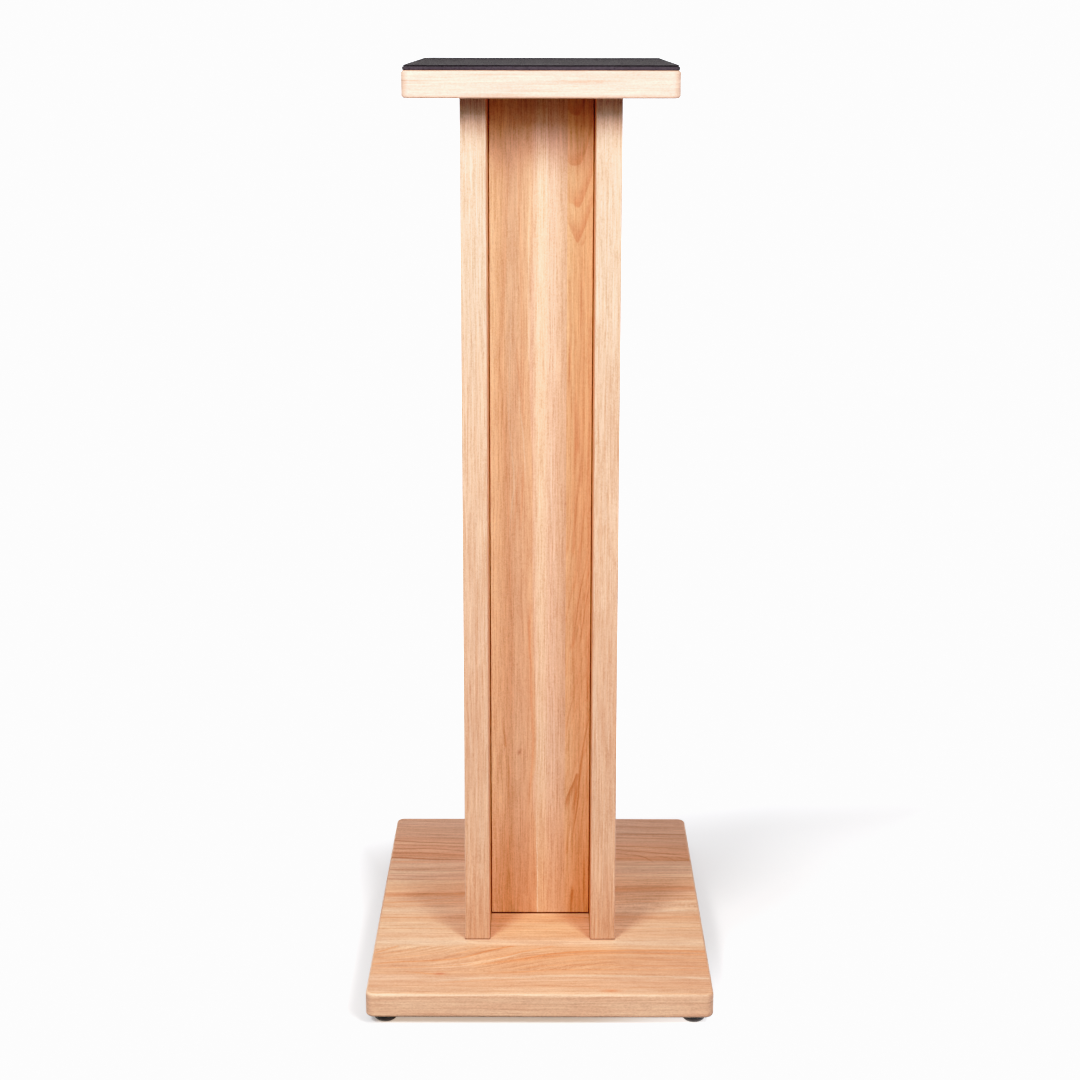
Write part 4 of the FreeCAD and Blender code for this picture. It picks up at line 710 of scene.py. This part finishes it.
def upright_material(name, seed):
    t = Wood(name)
    u = t.mad(t.z, 1.0, seed * 211.0)
    vv = t.fibres(u, t.y, t.x, seed)
    wob = t.noise(t.mul(u, 0.006), t.mul(t.y, 0.013), seed * 3.1, 2.0, 0.5)
    vw = t.mad(t.sub(wob, 0.5), 10.0, t.y)
    wide = t.bands(t.mad(vw, 1.0 if seed < 5 else -1.0, 0.0), -112.0, 112.0, shade([
        (-112, PALE), (-96, lin(238, 200, 164)), (-84, SAND), (-77, lin(236, 194, 156)), (-66, lin(222, 172, 130)), (-62, HONEY),
        (-50, lin(222, 164, 118)), (-42, lin(230, 178, 134)), (-34, RUSSET), (-31, lin(224, 168, 124)), (-20, HONEY),
        (-10, lin(216, 154, 108)), (-7, PALE), (6, CREAM), (16, lin(240, 200, 164)), (28, PALE), (34, SAND), (39, lin(238, 198, 160)),
        (44, ORANGE), (58, lin(226, 166, 116)), (66, RUSSET), (70, HONEY), (82, lin(230, 178, 134)), (90, SAND), (100, PINK), (112, PALE),
    ], K_WIDE))
    hv = t.sub(vw, -36.0)
    bow = t.total(t.mul(t.mul(hv, hv), 0.10), t.mul(u, 0.55), t.mul(t.sub(t.mottle, 0.5), 30.0))
    arcs = t.rings(t.mad(bow, 1 / 30.0, 0.0), 0.84, 2.0)
    flat = t.rings(t.mad(vw, 1 / 5.6, t.mul(t.sub(t.broad, 0.5), 1.8)), 0.86, 4.0)
    in_arcs = t.mul(t.smooth(t.y, -64.0, -60.0), t.smooth(t.y, -6.0, -10.0))
    rings = t.mixf(in_arcs, t.mul(flat, 0.40), t.mul(arcs, 0.70))
    face = t.dress(wide, rings, lin(196, 124, 82), 0.8, 1.0)
    # narrow edge: pale, fine upright lines with a few warmer ones
    n_line = t.noise(t.mul(t.x, 0.60), 5.0 + seed, t.mul(u, 0.010), 3.0, 0.62)
    n_soft = t.noise(t.mul(t.x, 0.05), 5.0 + seed, t.mul(u, 0.006), 2.0, 0.5)
    narrow = t.mix(t.smooth(n_line, 0.26, 0.74), times(lin(231, 187, 152), K_NARROW), times(lin(245, 211, 181), K_NARROW))
    narrow = t.gain(narrow, t.smooth(n_soft, 0.25, 0.75, 0.96, 1.04))
    # painted shade: the narrow edge grows darker and more orange towards the bottom and darker still near the base; at
    # middle height it is a little pinker
    narrow = t.mix(1.0, narrow, t.mix(t.smooth(t.z, 880.0, 60.0), (1.0, 1.0, 1.0, 1.0), (1.03, 0.93, 0.86, 1.0)), "MULTIPLY")
    narrow = t.mix(1.0, narrow, t.mix(t.mul(t.smooth(t.z, 720.0, 580.0), t.smooth(t.z, 140.0, 300.0)), (1.0, 1.0, 1.0, 1.0), (1.02, 0.96, 0.94, 1.0)), "MULTIPLY")
    narrow = t.mix(1.0, narrow, t.mix(t.smooth(t.z, 110.0, 45.0), (1.0, 1.0, 1.0, 1.0), (0.86, 0.84, 0.80, 1.0)), "MULTIPLY")
    narrow = t.dress(narrow, 0.0, SAND, 0.0, 1.25, pores=0.36, wide=0.6)
    on_face = face_mask(t, 0, 0.60, 0.78)
    col = t.mix(on_face, narrow, face)
    nx = t.normal()[0]
    joint = t.mul(t.smooth(nx, 0.45, 0.60), t.smooth(nx, 0.92, 0.76))
    col = t.mix(t.mul(joint, 0.14), col, lin(190, 134, 98))
    col = edge_wear(t, 0, CREAM, col, 0.12)
    col = t.mix(t.mul(t.smooth(t.z, 35.7, 35.1), 0.60), col, lin(110, 66, 46))          # painted shade in the joint with the base
    return t.satin(col, t.mul(rings, on_face))


# ---- hidden wood: raw softwood blocks and beech dowels

def raw_wood(name, light, dark, axis, size):
    t = Wood(name)
    c = [t.x, t.y, t.z]
    u = c.pop(axis)
    vv = t.fibres(u, c[0], c[1], 2.0)
    r = t.math("SQRT", t.add(t.mul(c[0], c[0]), t.mul(t.mad(c[1], 1.0, 120.0), t.mad(c[1], 1.0, 120.0))))
    rings = t.rings(t.mad(r, 1.0 / size, t.mul(t.broad, 1.0)), 0.8, 0.0)
    col = t.dress(light, rings, dark, 0.7, 1.0)
    return t.satin(col, rings, 0.72, 2.0)


# ---------------------------------------------------------------- foam, rubber and metal

def foam_material():
    t = Tree("foam")
    cell = t.voronoi(t.mul(t.x, 1.9), t.mul(t.y, 1.9), t.mul(t.z, 1.9), "F1")
    tiny = t.voronoi(t.mul(t.x, 4.3), t.mul(t.y, 4.3), t.mul(t.z, 4.3), "F1")
    cloud = t.noise(t.mul(t.x, 0.012), t.mul(t.y, 0.012), t.mul(t.z, 0.05), 3.0, 0.55)
    grit = t.noise(t.mul(t.x, 1.1), t.mul(t.y, 1.1), t.mul(t.z, 1.1), 3.0, 0.75)
    lint = t.smooth(t.noise(t.mul(t.x, 0.35), t.mul(t.y, 0.9), t.mul(t.z, 0.9), 2.0, 0.8), 0.66, 0.78)
    base = t.mix(t.smooth(cloud, 0.35, 0.65), lin(50, 45, 50), lin(58, 53, 58))
    open_cell = t.smooth(cell, 0.42, 0.12)
    dent = t.smooth(t.voronoi(t.mul(t.x, 0.42), t.mul(t.y, 0.42), t.mul(t.z, 0.42), "F1"), 0.50, 0.10)
    patch = t.noise(t.mul(t.x, 0.30), t.mul(t.y, 0.30), t.mul(t.z, 0.30), 3.0, 0.65)
    k = t.total(t.mul(t.sub(grit, 0.5), 0.50), t.mul(t.sub(patch, 0.5), 0.55), t.mul(dent, -0.20), t.mul(open_cell, -0.24), t.mul(t.smooth(tiny, 0.45, 0.1), -0.14), 1.12)
    col = t.gain(base, k)
    # the cut sides are coarser and lighter than the skin on top; painted shade darkens the upper part of the cut side,
    # round the groove
    nz = t.normal()[2]
    col = t.gain(col, t.smooth(nz, 0.35, 0.9, 1.24, 0.74))
    groove = t.mul(t.smooth(t.z, 912.4, 912.9), t.smooth(nz, 0.9, 0.5))
    col = t.gain(col, t.mad(groove, -0.55, 1.0))
    col = t.mix(t.mul(lint, 0.10), col, lin(150, 146, 148))
    h = t.total(t.mul(open_cell, -0.6), t.mul(t.smooth(tiny, 0.45, 0.1), -0.3), t.mul(grit, 0.7), t.mul(dent, -1.1), t.mul(patch, 1.2))
    r = t.mad(grit, 0.10, 0.89)
    return t.finish(col, r, t.bump(h, 0.00030, 0.8), 0.12, Sheen_Weight=0.08, Sheen_Roughness=0.6)


def rubber_material():
    t = Tree("rubber")
    grain = t.noise(t.mul(t.x, 2.2), t.mul(t.y, 2.2), t.mul(t.z, 2.2), 3.0, 0.7)
    scuff = t.smooth(t.noise(t.mul(t.x, 0.22), t.mul(t.y, 0.22), t.mul(t.z, 0.6), 3.0, 0.7), 0.52, 0.72)
    dust = t.smooth(t.z, 4.0, 0.2)
    col = t.mix(scuff, lin(16, 16, 17), lin(30, 29, 30))
    col = t.mix(t.mul(t.mul(dust, scuff), 0.4), col, lin(92, 88, 84))
    r = t.total(t.mul(t.sub(grain, 0.5), 0.16), t.mul(scuff, 0.16), 0.30)
    return t.finish(col, r, t.bump(grain, 0.00006, 0.5), 0.5)


def metal_material(name, tint, rough, turn_marks=True):
    t = Tree(name)
    cloud = t.noise(t.mul(t.x, 0.16), t.mul(t.y, 0.16), t.mul(t.z, 0.16), 3.0, 0.6)
    fine = t.noise(t.mul(t.x, 3.0), t.mul(t.y, 3.0), t.mul(t.z, 9.0 if turn_marks else 3.0), 2.0, 0.6)
    col = t.mix(t.smooth(cloud, 0.35, 0.68), tint, tuple(min(1.0, c * 1.16) for c in tint[:3]) + (1.0,))
    col = t.gain(col, t.mad(t.sub(fine, 0.5), 0.22, 1.0))
    r = t.total(t.mul(t.sub(fine, 0.5), 0.20), t.mul(t.sub(cloud, 0.5), 0.18), rough)
    return t.finish(col, r, t.bump(fine, 0.00004, 0.5), 0.5, Metallic=1.0)


def black_screw_material():
    t = Tree("black_phosphate")
    cloud = t.noise(t.mul(t.x, 0.5), t.mul(t.y, 0.5), t.mul(t.z, 0.5), 3.0, 0.6)
    fine = t.noise(t.mul(t.x, 5.0), t.mul(t.y, 5.0), t.mul(t.z, 5.0), 2.0, 0.6)
    col = t.mix(t.smooth(cloud, 0.4, 0.7), lin(34, 33, 34), lin(58, 55, 54))
    worn = t.mul(t.smooth(fine, 0.62, 0.74), 0.35)
    col = t.mix(worn, col, lin(128, 126, 124))
    r = t.total(t.mul(t.sub(fine, 0.5), 0.2), 0.44)
    return t.finish(col, r, t.bump(fine, 0.00004, 0.5), 0.5, Metallic=0.75)


def dress_node(name, material):
    o = nodes[name]
    o.data.materials.clear()
    o.data.materials.append(material)


base_mat = plate_material("laminate_base", 0.0, False, (lin(229, 185, 155), lin(217, 171, 142)))
top_mat = plate_material("laminate_top", 13.0, True, ((0.67, 0.444, 0.342, 1.0), (0.59, 0.376, 0.290, 1.0)))
dress_node("base_plate", base_mat)
dress_node("top_plate", top_mat)
dress_node("left_upright", upright_material("laminate_upright_left", 1.0))
dress_node("right_upright", upright_material("laminate_upright_right", 7.0))
dress_node("front_panel", panel_material("laminate_panel_front", False))
dress_node("rear_panel", panel_material("laminate_panel_rear", True))
block_mat = raw_wood("raw_softwood", lin(222, 182, 130), lin(182, 130, 82), 0, 4.2)
for n in ("lower_block", "middle_block", "upper_block"):
    dress_node(n, block_mat)
dowel_up = raw_wood("raw_beech_upright", lin(226, 190, 146), lin(196, 150, 106), 2, 2.6)
dowel_across = raw_wood("raw_beech_across", lin(226, 190, 146), lin(196, 150, 106), 0, 2.6)
dress_node("base_dowels", dowel_up)
dress_node("top_dowels", dowel_up)
dress_node("block_dowels", dowel_across)
zinc = metal_material("zinc_plate", (0.66, 0.67, 0.66, 1.0), 0.30)
casting = metal_material("zinc_casting", (0.50, 0.50, 0.51, 1.0), 0.46, False)
for n in ("base_bolts", "base_washers", "top_bolts", "top_washers", "foot_washers", "cam_bolts"):
    dress_node(n, zinc)
for n in ("lower_inserts", "upper_inserts", "cam_locks"):
    dress_node(n, casting)
screw = black_screw_material()
for n in ("front_panel_screws", "rear_panel_screws", "foot_screws"):
    dress_node(n, screw)
rubber = rubber_material()
for n in ("front_left_foot", "front_right_foot", "rear_left_foot", "rear_right_foot"):
    dress_node(n, rubber)


# ---------------------------------------------------------------- the foam pad, as its own soft sheet

def rounded_rectangle(hx, hy, r, step):
    """Points round a rectangle with round corners, about step apart, from the middle of the front side."""
    pts = []
    arc = max(4, int(round(r * math.pi / 2 / min(step, 0.0016))))
    sides = [((0.0, -hy), (hx - r, -hy)), None, ((hx, -hy + r), (hx, hy - r)), None, ((hx - r, hy), (-hx + r, hy)), None,
             ((-hx, hy - r), (-hx, -hy + r)), None, ((-hx + r, -hy), (0.0, -hy))]
    corners = [((hx - r, -hy + r), -90), ((hx - r, hy - r), 0), ((-hx + r, hy - r), 90), ((-hx + r, -hy + r), 180)]
    k = 0
    for s in sides:
        if s is None:
            (cx, cy), a0 = corners[k]
            k += 1
            for i in range(arc):
                a = math.radians(a0 + 90.0 * (i + 0.5) / arc)
                pts.append((cx + r * math.cos(a), cy + r * math.sin(a)))
        else:
            (x0, y0), (x1, y1) = s
            n = max(1, int(round(math.hypot(x1 - x0, y1 - y0) / step)))
            for i in range(n):
                f = (i + 0.5) / n
                pts.append((x0 + (x1 - x0) * f, y0 + (y1 - y0) * f))
    return pts


def make_pad():
    lo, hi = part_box("foam_pad")
    hx, hy = (hi.x - lo.x) / 2, (hi.y - lo.y) / 2
    cx, cy = (hi.x + lo.x) / 2, (hi.y + lo.y) / 2
    thick = hi.z - lo.z
    # section of the rim, from the bottom inwards edge to the top: inset and height. The cut side bulges a hair.
    # A groove under the top parts the thin skin from the foam.
    rim = [(0.0010, 0.0), (0.00045, 0.0), (0.00012, 0.00035), (0.00004, 0.0010), (0.0, 0.0018), (0.00004, 0.0026), (0.00016, 0.0032),
           (0.00060, 0.00350), (0.00125, 0.00364), (0.00135, 0.00392), (0.00070, 0.00412), (0.00040, 0.00432), (0.00042, 0.00462),
           (0.00070, 0.00486), (0.00130, 0.00497), (0.0022, 0.0050), (0.0040, 0.0050), (0.0070, 0.0050)]
    outline = rounded_rectangle(hx, hy, 0.008, 0.004)
    bm = bmesh.new()
    loops = []
    for inset, h in rim:
        sx, sy = (hx - inset) / hx, (hy - inset) / hy
        loops.append([bm.verts.new((cx + x * sx, cy + y * sy, lo.z + h * thick / 0.005)) for x, y in outline])
    n = len(outline)
    for a, b in zip(loops, loops[1:]):
        for i in range(n):
            bm.faces.new((a[i], a[(i + 1) % n], b[(i + 1) % n], b[i]))
    # top and bottom skins: rings that shrink to the middle
    def cap(loop, up):
        ring = loop
        steps = 22
        x0 = [(v.co.x, v.co.y, v.co.z) for v in loop]
        for s in range(1, steps):
            f = 1.0 - s / steps
            new = [bm.verts.new((cx + (x - cx) * f, cy + (y - cy) * f, z)) for x, y, z in x0]
            for i in range(n):
                q = (ring[i], ring[(i + 1) % n], new[(i + 1) % n], new[i])
                bm.faces.new(q if up else q[::-1])
            ring = new
        mid = bm.verts.new((cx, cy, x0[0][2]))
        for i in range(n):
            q = (ring[i], ring[(i + 1) % n], mid)
            bm.faces.new(q if up else q[::-1])
    cap(loops[-1], True)
    cap(loops[0], False)
    bmesh.ops.recalc_face_normals(bm, faces=bm.faces)
    # soft unevenness of the top skin and the cut edge
    for v in bm.verts:
        up = (v.co.z - lo.z) / thick
        if up < 0.05:
            continue
        p = Vector((v.co.x * 11.0, v.co.y * 11.0, 2.7))
        q = Vector((v.co.x * 62.0, v.co.y * 62.0, 9.1))
        sag = 0.5 + 0.5 * mnoise.noise(p)
        fine = 0.5 + 0.5 * mnoise.noise(q)
        rim_near = max(0.0, 1.0 - min(hx - abs(v.co.x - cx), hy - abs(v.co.y - cy)) / 0.03)
        v.co.z -= up * (0.00040 * sag + 0.00018 * fine * (0.3 + 0.7 * rim_near))
        pull = 0.00022 * mnoise.noise(Vector((v.co.x * 45.0, v.co.y * 45.0, v.co.z * 300.0)))
        if rim_near > 0.9:
            d = Vector((v.co.x - cx, v.co.y - cy, 0.0)).normalized()
            v.co.x -= d.x * abs(pull)
            v.co.y -= d.y * abs(pull)
    me = bpy.data.meshes.new("foam_pad_soft")
    bm.to_mesh(me)
    bm.free()
    for p in me.polygons:
        p.use_smooth = True
    o = bpy.data.objects.new("foam_pad_soft", me)
    scene.collection.objects.link(o)
    me.materials.append(foam_material())
    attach(o, "root")
    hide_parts("foam_pad")
    return o


make_pad()


# ---------------------------------------------------------------- floor, light, camera

FLOOR_ALBEDO, FLOOR_NEAR, FLOOR_MID, FLOOR_OPEN, FLOOR_FAR = 0.80, 0.16, 0.11, 0.42, 1.05
WORLD_LOW, WORLD_HIGH = 0.010, 0.52

floor_mesh = bpy.data.meshes.new("floor")
floor_mesh.from_pydata([(-900, -900, 0), (900, -900, 0), (900, 900, 0), (-900, 900, 0)], [], [(0, 1, 2, 3)])
floor = bpy.data.objects.new("floor", floor_mesh)
scene.collection.objects.link(floor)
t = Tree("pale_floor")
nt = t.nt
nt.nodes.remove(t.bsdf)
f_diff = nt.nodes.new("ShaderNodeBsdfDiffuse")
f_diff.inputs["Color"].default_value = (FLOOR_ALBEDO, FLOOR_ALBEDO, FLOOR_ALBEDO * 1.01, 1.0)
# The paper glows like a lit table. The glow leaves one soft shadow, which falls to the back right.
f_far = t.math("SQRT", t.add(t.mul(t.sub(t.x, 190.0), t.sub(t.x, 190.0)), t.mul(t.y, t.y)))
below = t.add(t.mul(t.sub(t.x, 191.0), 0.812), t.mul(t.y, -0.584))
above = t.sub(t.mul(t.sub(t.y, 345.0), 0.956), t.mul(t.sub(t.x, 100.0), 0.294))
q_x = t.math("MAXIMUM", t.sub(-174.0, t.x), 0.0)
q_y = t.math("MAXIMUM", t.sub(t.y, 222.0), 0.0)
q_far = t.math("SQRT", t.add(t.mul(q_x, q_x), t.mul(q_y, q_y)))
aside = t.mul(t.smooth(q_far, 2.0, 66.0), t.smooth(t.x, 70.0, -40.0))
past = t.smooth(f_far, 440.0, 720.0)
open_floor = t.smooth(below, 0.0, 135.0)
open_floor = t.math("MAXIMUM", open_floor, t.smooth(above, -120.0, 75.0))
open_floor = t.math("MAXIMUM", open_floor, aside)
near_glow = t.add(t.mul(t.mul(t.smooth(f_far, 90.0, 320.0), t.smooth(t.x, 0.0, 150.0)), FLOOR_MID), FLOOR_NEAR)
f_em = nt.nodes.new("ShaderNodeEmission")
f_em.inputs["Color"].default_value = (0.98, 1.0, 1.06, 1.0)
t.put(f_em.inputs["Strength"], t.total(near_glow, t.mul(open_floor, FLOOR_OPEN), t.mul(past, FLOOR_FAR)))
f_add = nt.nodes.new("ShaderNodeAddShader")
nt.links.new(f_diff.outputs[0], f_add.inputs[0])
nt.links.new(f_em.outputs[0], f_add.inputs[1])
# just under the front edge the paper picks up a warm glow from the wood
under = t.mul(t.mul(t.smooth(t.y, -196.0, -224.0), t.smooth(t.y, -246.0, -234.0)), t.smooth(t.math("ABSOLUTE", t.x), 168.0, 150.0))
f_glow = nt.nodes.new("ShaderNodeEmission")
f_glow.inputs["Color"].default_value = (0.32, 0.22, 0.14, 1.0)
t.put(f_glow.inputs["Strength"], under)
f_both = nt.nodes.new("ShaderNodeAddShader")
nt.links.new(f_add.outputs[0], f_both.inputs[0])
nt.links.new(f_glow.outputs[0], f_both.inputs[1])
nt.links.new(f_both.outputs[0], t.out.inputs[0])
fm = t.mat
floor_mesh.materials.append(fm)
floor.visible_diffuse = False

world = bpy.data.worlds.new("studio")
scene.world = world
world.use_nodes = True
wt = world.node_tree
wt.nodes.clear()
w_out = wt.nodes.new("ShaderNodeOutputWorld")
w_co = wt.nodes.new("ShaderNodeTexCoord")
w_sep = wt.nodes.new("ShaderNodeSeparateXYZ")
wt.links.new(w_co.outputs["Generated"], w_sep.inputs[0])
w_sky = wt.nodes.new("ShaderNodeMapRange")        # ceiling and walls are pale, what comes back from below is weak
w_sky.interpolation_type = "SMOOTHSTEP"
for i, v in enumerate((None, 0.0, 0.65, WORLD_LOW, WORLD_HIGH)):
    if v is not None:
        w_sky.inputs[i].default_value = v
wt.links.new(w_sep.outputs[2], w_sky.inputs[0])
w_tint = wt.nodes.new("ShaderNodeMix")            # and warm, off the wood and the paper
w_tint.data_type = "RGBA"
w_warm = wt.nodes.new("ShaderNodeMapRange")
for i, v in enumerate((None, 0.0, 0.30, 0.0, 1.0)):
    if v is not None:
        w_warm.inputs[i].default_value = v
wt.links.new(w_sep.outputs[2], w_warm.inputs[0])
wt.links.new(w_warm.outputs[0], w_tint.inputs[0])
w_tint.inputs[6].default_value = (1.0, 0.48, 0.24, 1.0)
w_tint.inputs[7].default_value = (1.0, 0.985, 0.97, 1.0)
w_dim = wt.nodes.new("ShaderNodeBackground")
wt.links.new(w_tint.outputs[2], w_dim.inputs["Color"])
wt.links.new(w_sky.outputs[0], w_dim.inputs["Strength"])
w_seen = wt.nodes.new("ShaderNodeBackground")
w_seen.inputs["Color"].default_value = (1.0, 1.0, 1.0, 1.0)
w_seen.inputs["Strength"].default_value = 1.30
w_path = wt.nodes.new("ShaderNodeLightPath")
w_mix = wt.nodes.new("ShaderNodeMixShader")
wt.links.new(w_path.outputs["Is Camera Ray"], w_mix.inputs[0])
wt.links.new(w_dim.outputs[0], w_mix.inputs[1])
wt.links.new(w_seen.outputs[0], w_mix.inputs[2])
wt.links.new(w_mix.outputs[0], w_out.inputs[0])


def softbox(name, azimuth, elevation, distance, width, height, power, target, colour=(1.0, 0.97, 0.94)):
    """An area light: azimuth 0 is in front of the stand (-Y), positive to its right."""
    a, e = math.radians(azimuth), math.radians(elevation)
    at = Vector(target) + distance * Vector((math.sin(a) * math.cos(e), -math.cos(a) * math.cos(e), math.sin(e)))
    data = bpy.data.lights.new(name, "AREA")
    data.shape = "RECTANGLE"
    data.size, data.size_y = width, height
    data.energy = power
    data.color = colour
    o = bpy.data.objects.new(name, data)
    o.matrix_world = Matrix.Translation(at) @ (Vector(target) - at).to_track_quat("-Z", "Y").to_matrix().to_4x4()
    scene.collection.objects.link(o)
    return o


# each lamp is a wide soft box with a brighter middle, so shadows have no hard beginning
for side_, power_ in (("left", 24.5), ("right", 21.0)):
    turn_ = -27.5 if side_ == "left" else 27.5
    softbox("key_" + side_, turn_, 17.2, 1.62, 0.58, 0.72, power_ * 0.40, (0.0, 0.0, 0.85), (1.0, 0.98, 0.965))
    softbox("core_" + side_, turn_, 17.4, 1.61, 0.42, 0.40, power_ * 0.60, (0.0, 0.0, 0.85), (1.0, 0.98, 0.965))

cam_data = bpy.data.cameras.new("camera")
cam_data.sensor_fit = "HORIZONTAL"
cam_data.sensor_width = 36.0
cam_data.lens = 71.774
cam_data.clip_start = 0.01
cam_data.clip_end = 200.0
cam = bpy.data.objects.new("camera", cam_data)
pitch, yaw, roll = 0.23781, -0.00267, 0.00134
cy_, sy_ = math.cos(yaw), math.sin(yaw)
cp_, sp_ = math.cos(pitch), math.sin(pitch)
right_ = Vector((cy_, -sy_, 0.0))
ahead_ = Vector((sy_ * cp_, cy_ * cp_, -sp_))
up_ = Vector((sy_ * sp_, cy_ * sp_, cp_))
cr_, sr_ = math.cos(roll), math.sin(roll)
r2 = cr_ * right_ + sr_ * up_
u2 = cr_ * up_ - sr_ * right_
m = Matrix.Identity(4)
for i in range(3):
    m[i][0], m[i][1], m[i][2] = r2[i], u2[i], -ahead_[i]
m[0][3], m[1][3], m[2][3] = 0.00494, -2.16320, 0.95507
cam.matrix_world = m
scene.collection.objects.link(cam)
scene.camera = cam

scene.view_settings.view_transform = "Standard"
scene.view_settings.look = "None"
scene.view_settings.exposure = 0.0
scene.view_settings.gamma = 1.0

# a photographer's gentle contrast curve: (display value in, display value out)
TONE = [(0.0, 0.0), (0.12, 0.035), (0.20, 0.085), (0.285, 0.20), (0.34, 0.29), (0.40, 0.38), (0.55, 0.56), (0.70, 0.735), (0.82, 0.86), (0.92, 0.935), (0.97, 0.970), (1.0, 0.989), (1.12, 0.992)]
scene.view_settings.use_curve_mapping = True
cm = scene.view_settings.curve_mapping
cm.use_clip = False
cm.clip_max_x = 1.4
cm.clip_max_y = 1.0
cm.extend = "HORIZONTAL"
c = cm.curves[3]
tone = [[lin(v * 255, 0, 0)[0] for v in (a_, b_)] for a_, b_ in TONE]
c.points[0].location = tone[0]
c.points[-1].location = tone[-1]                           # the end point first, so that none is left at (1, 1)
for xy in tone[1:-1]:
    c.points.new(*xy)
for p_ in c.points:
    p_.handle_type = "AUTO_CLAMPED"
cm.update()

bpy.context.view_layer.update()
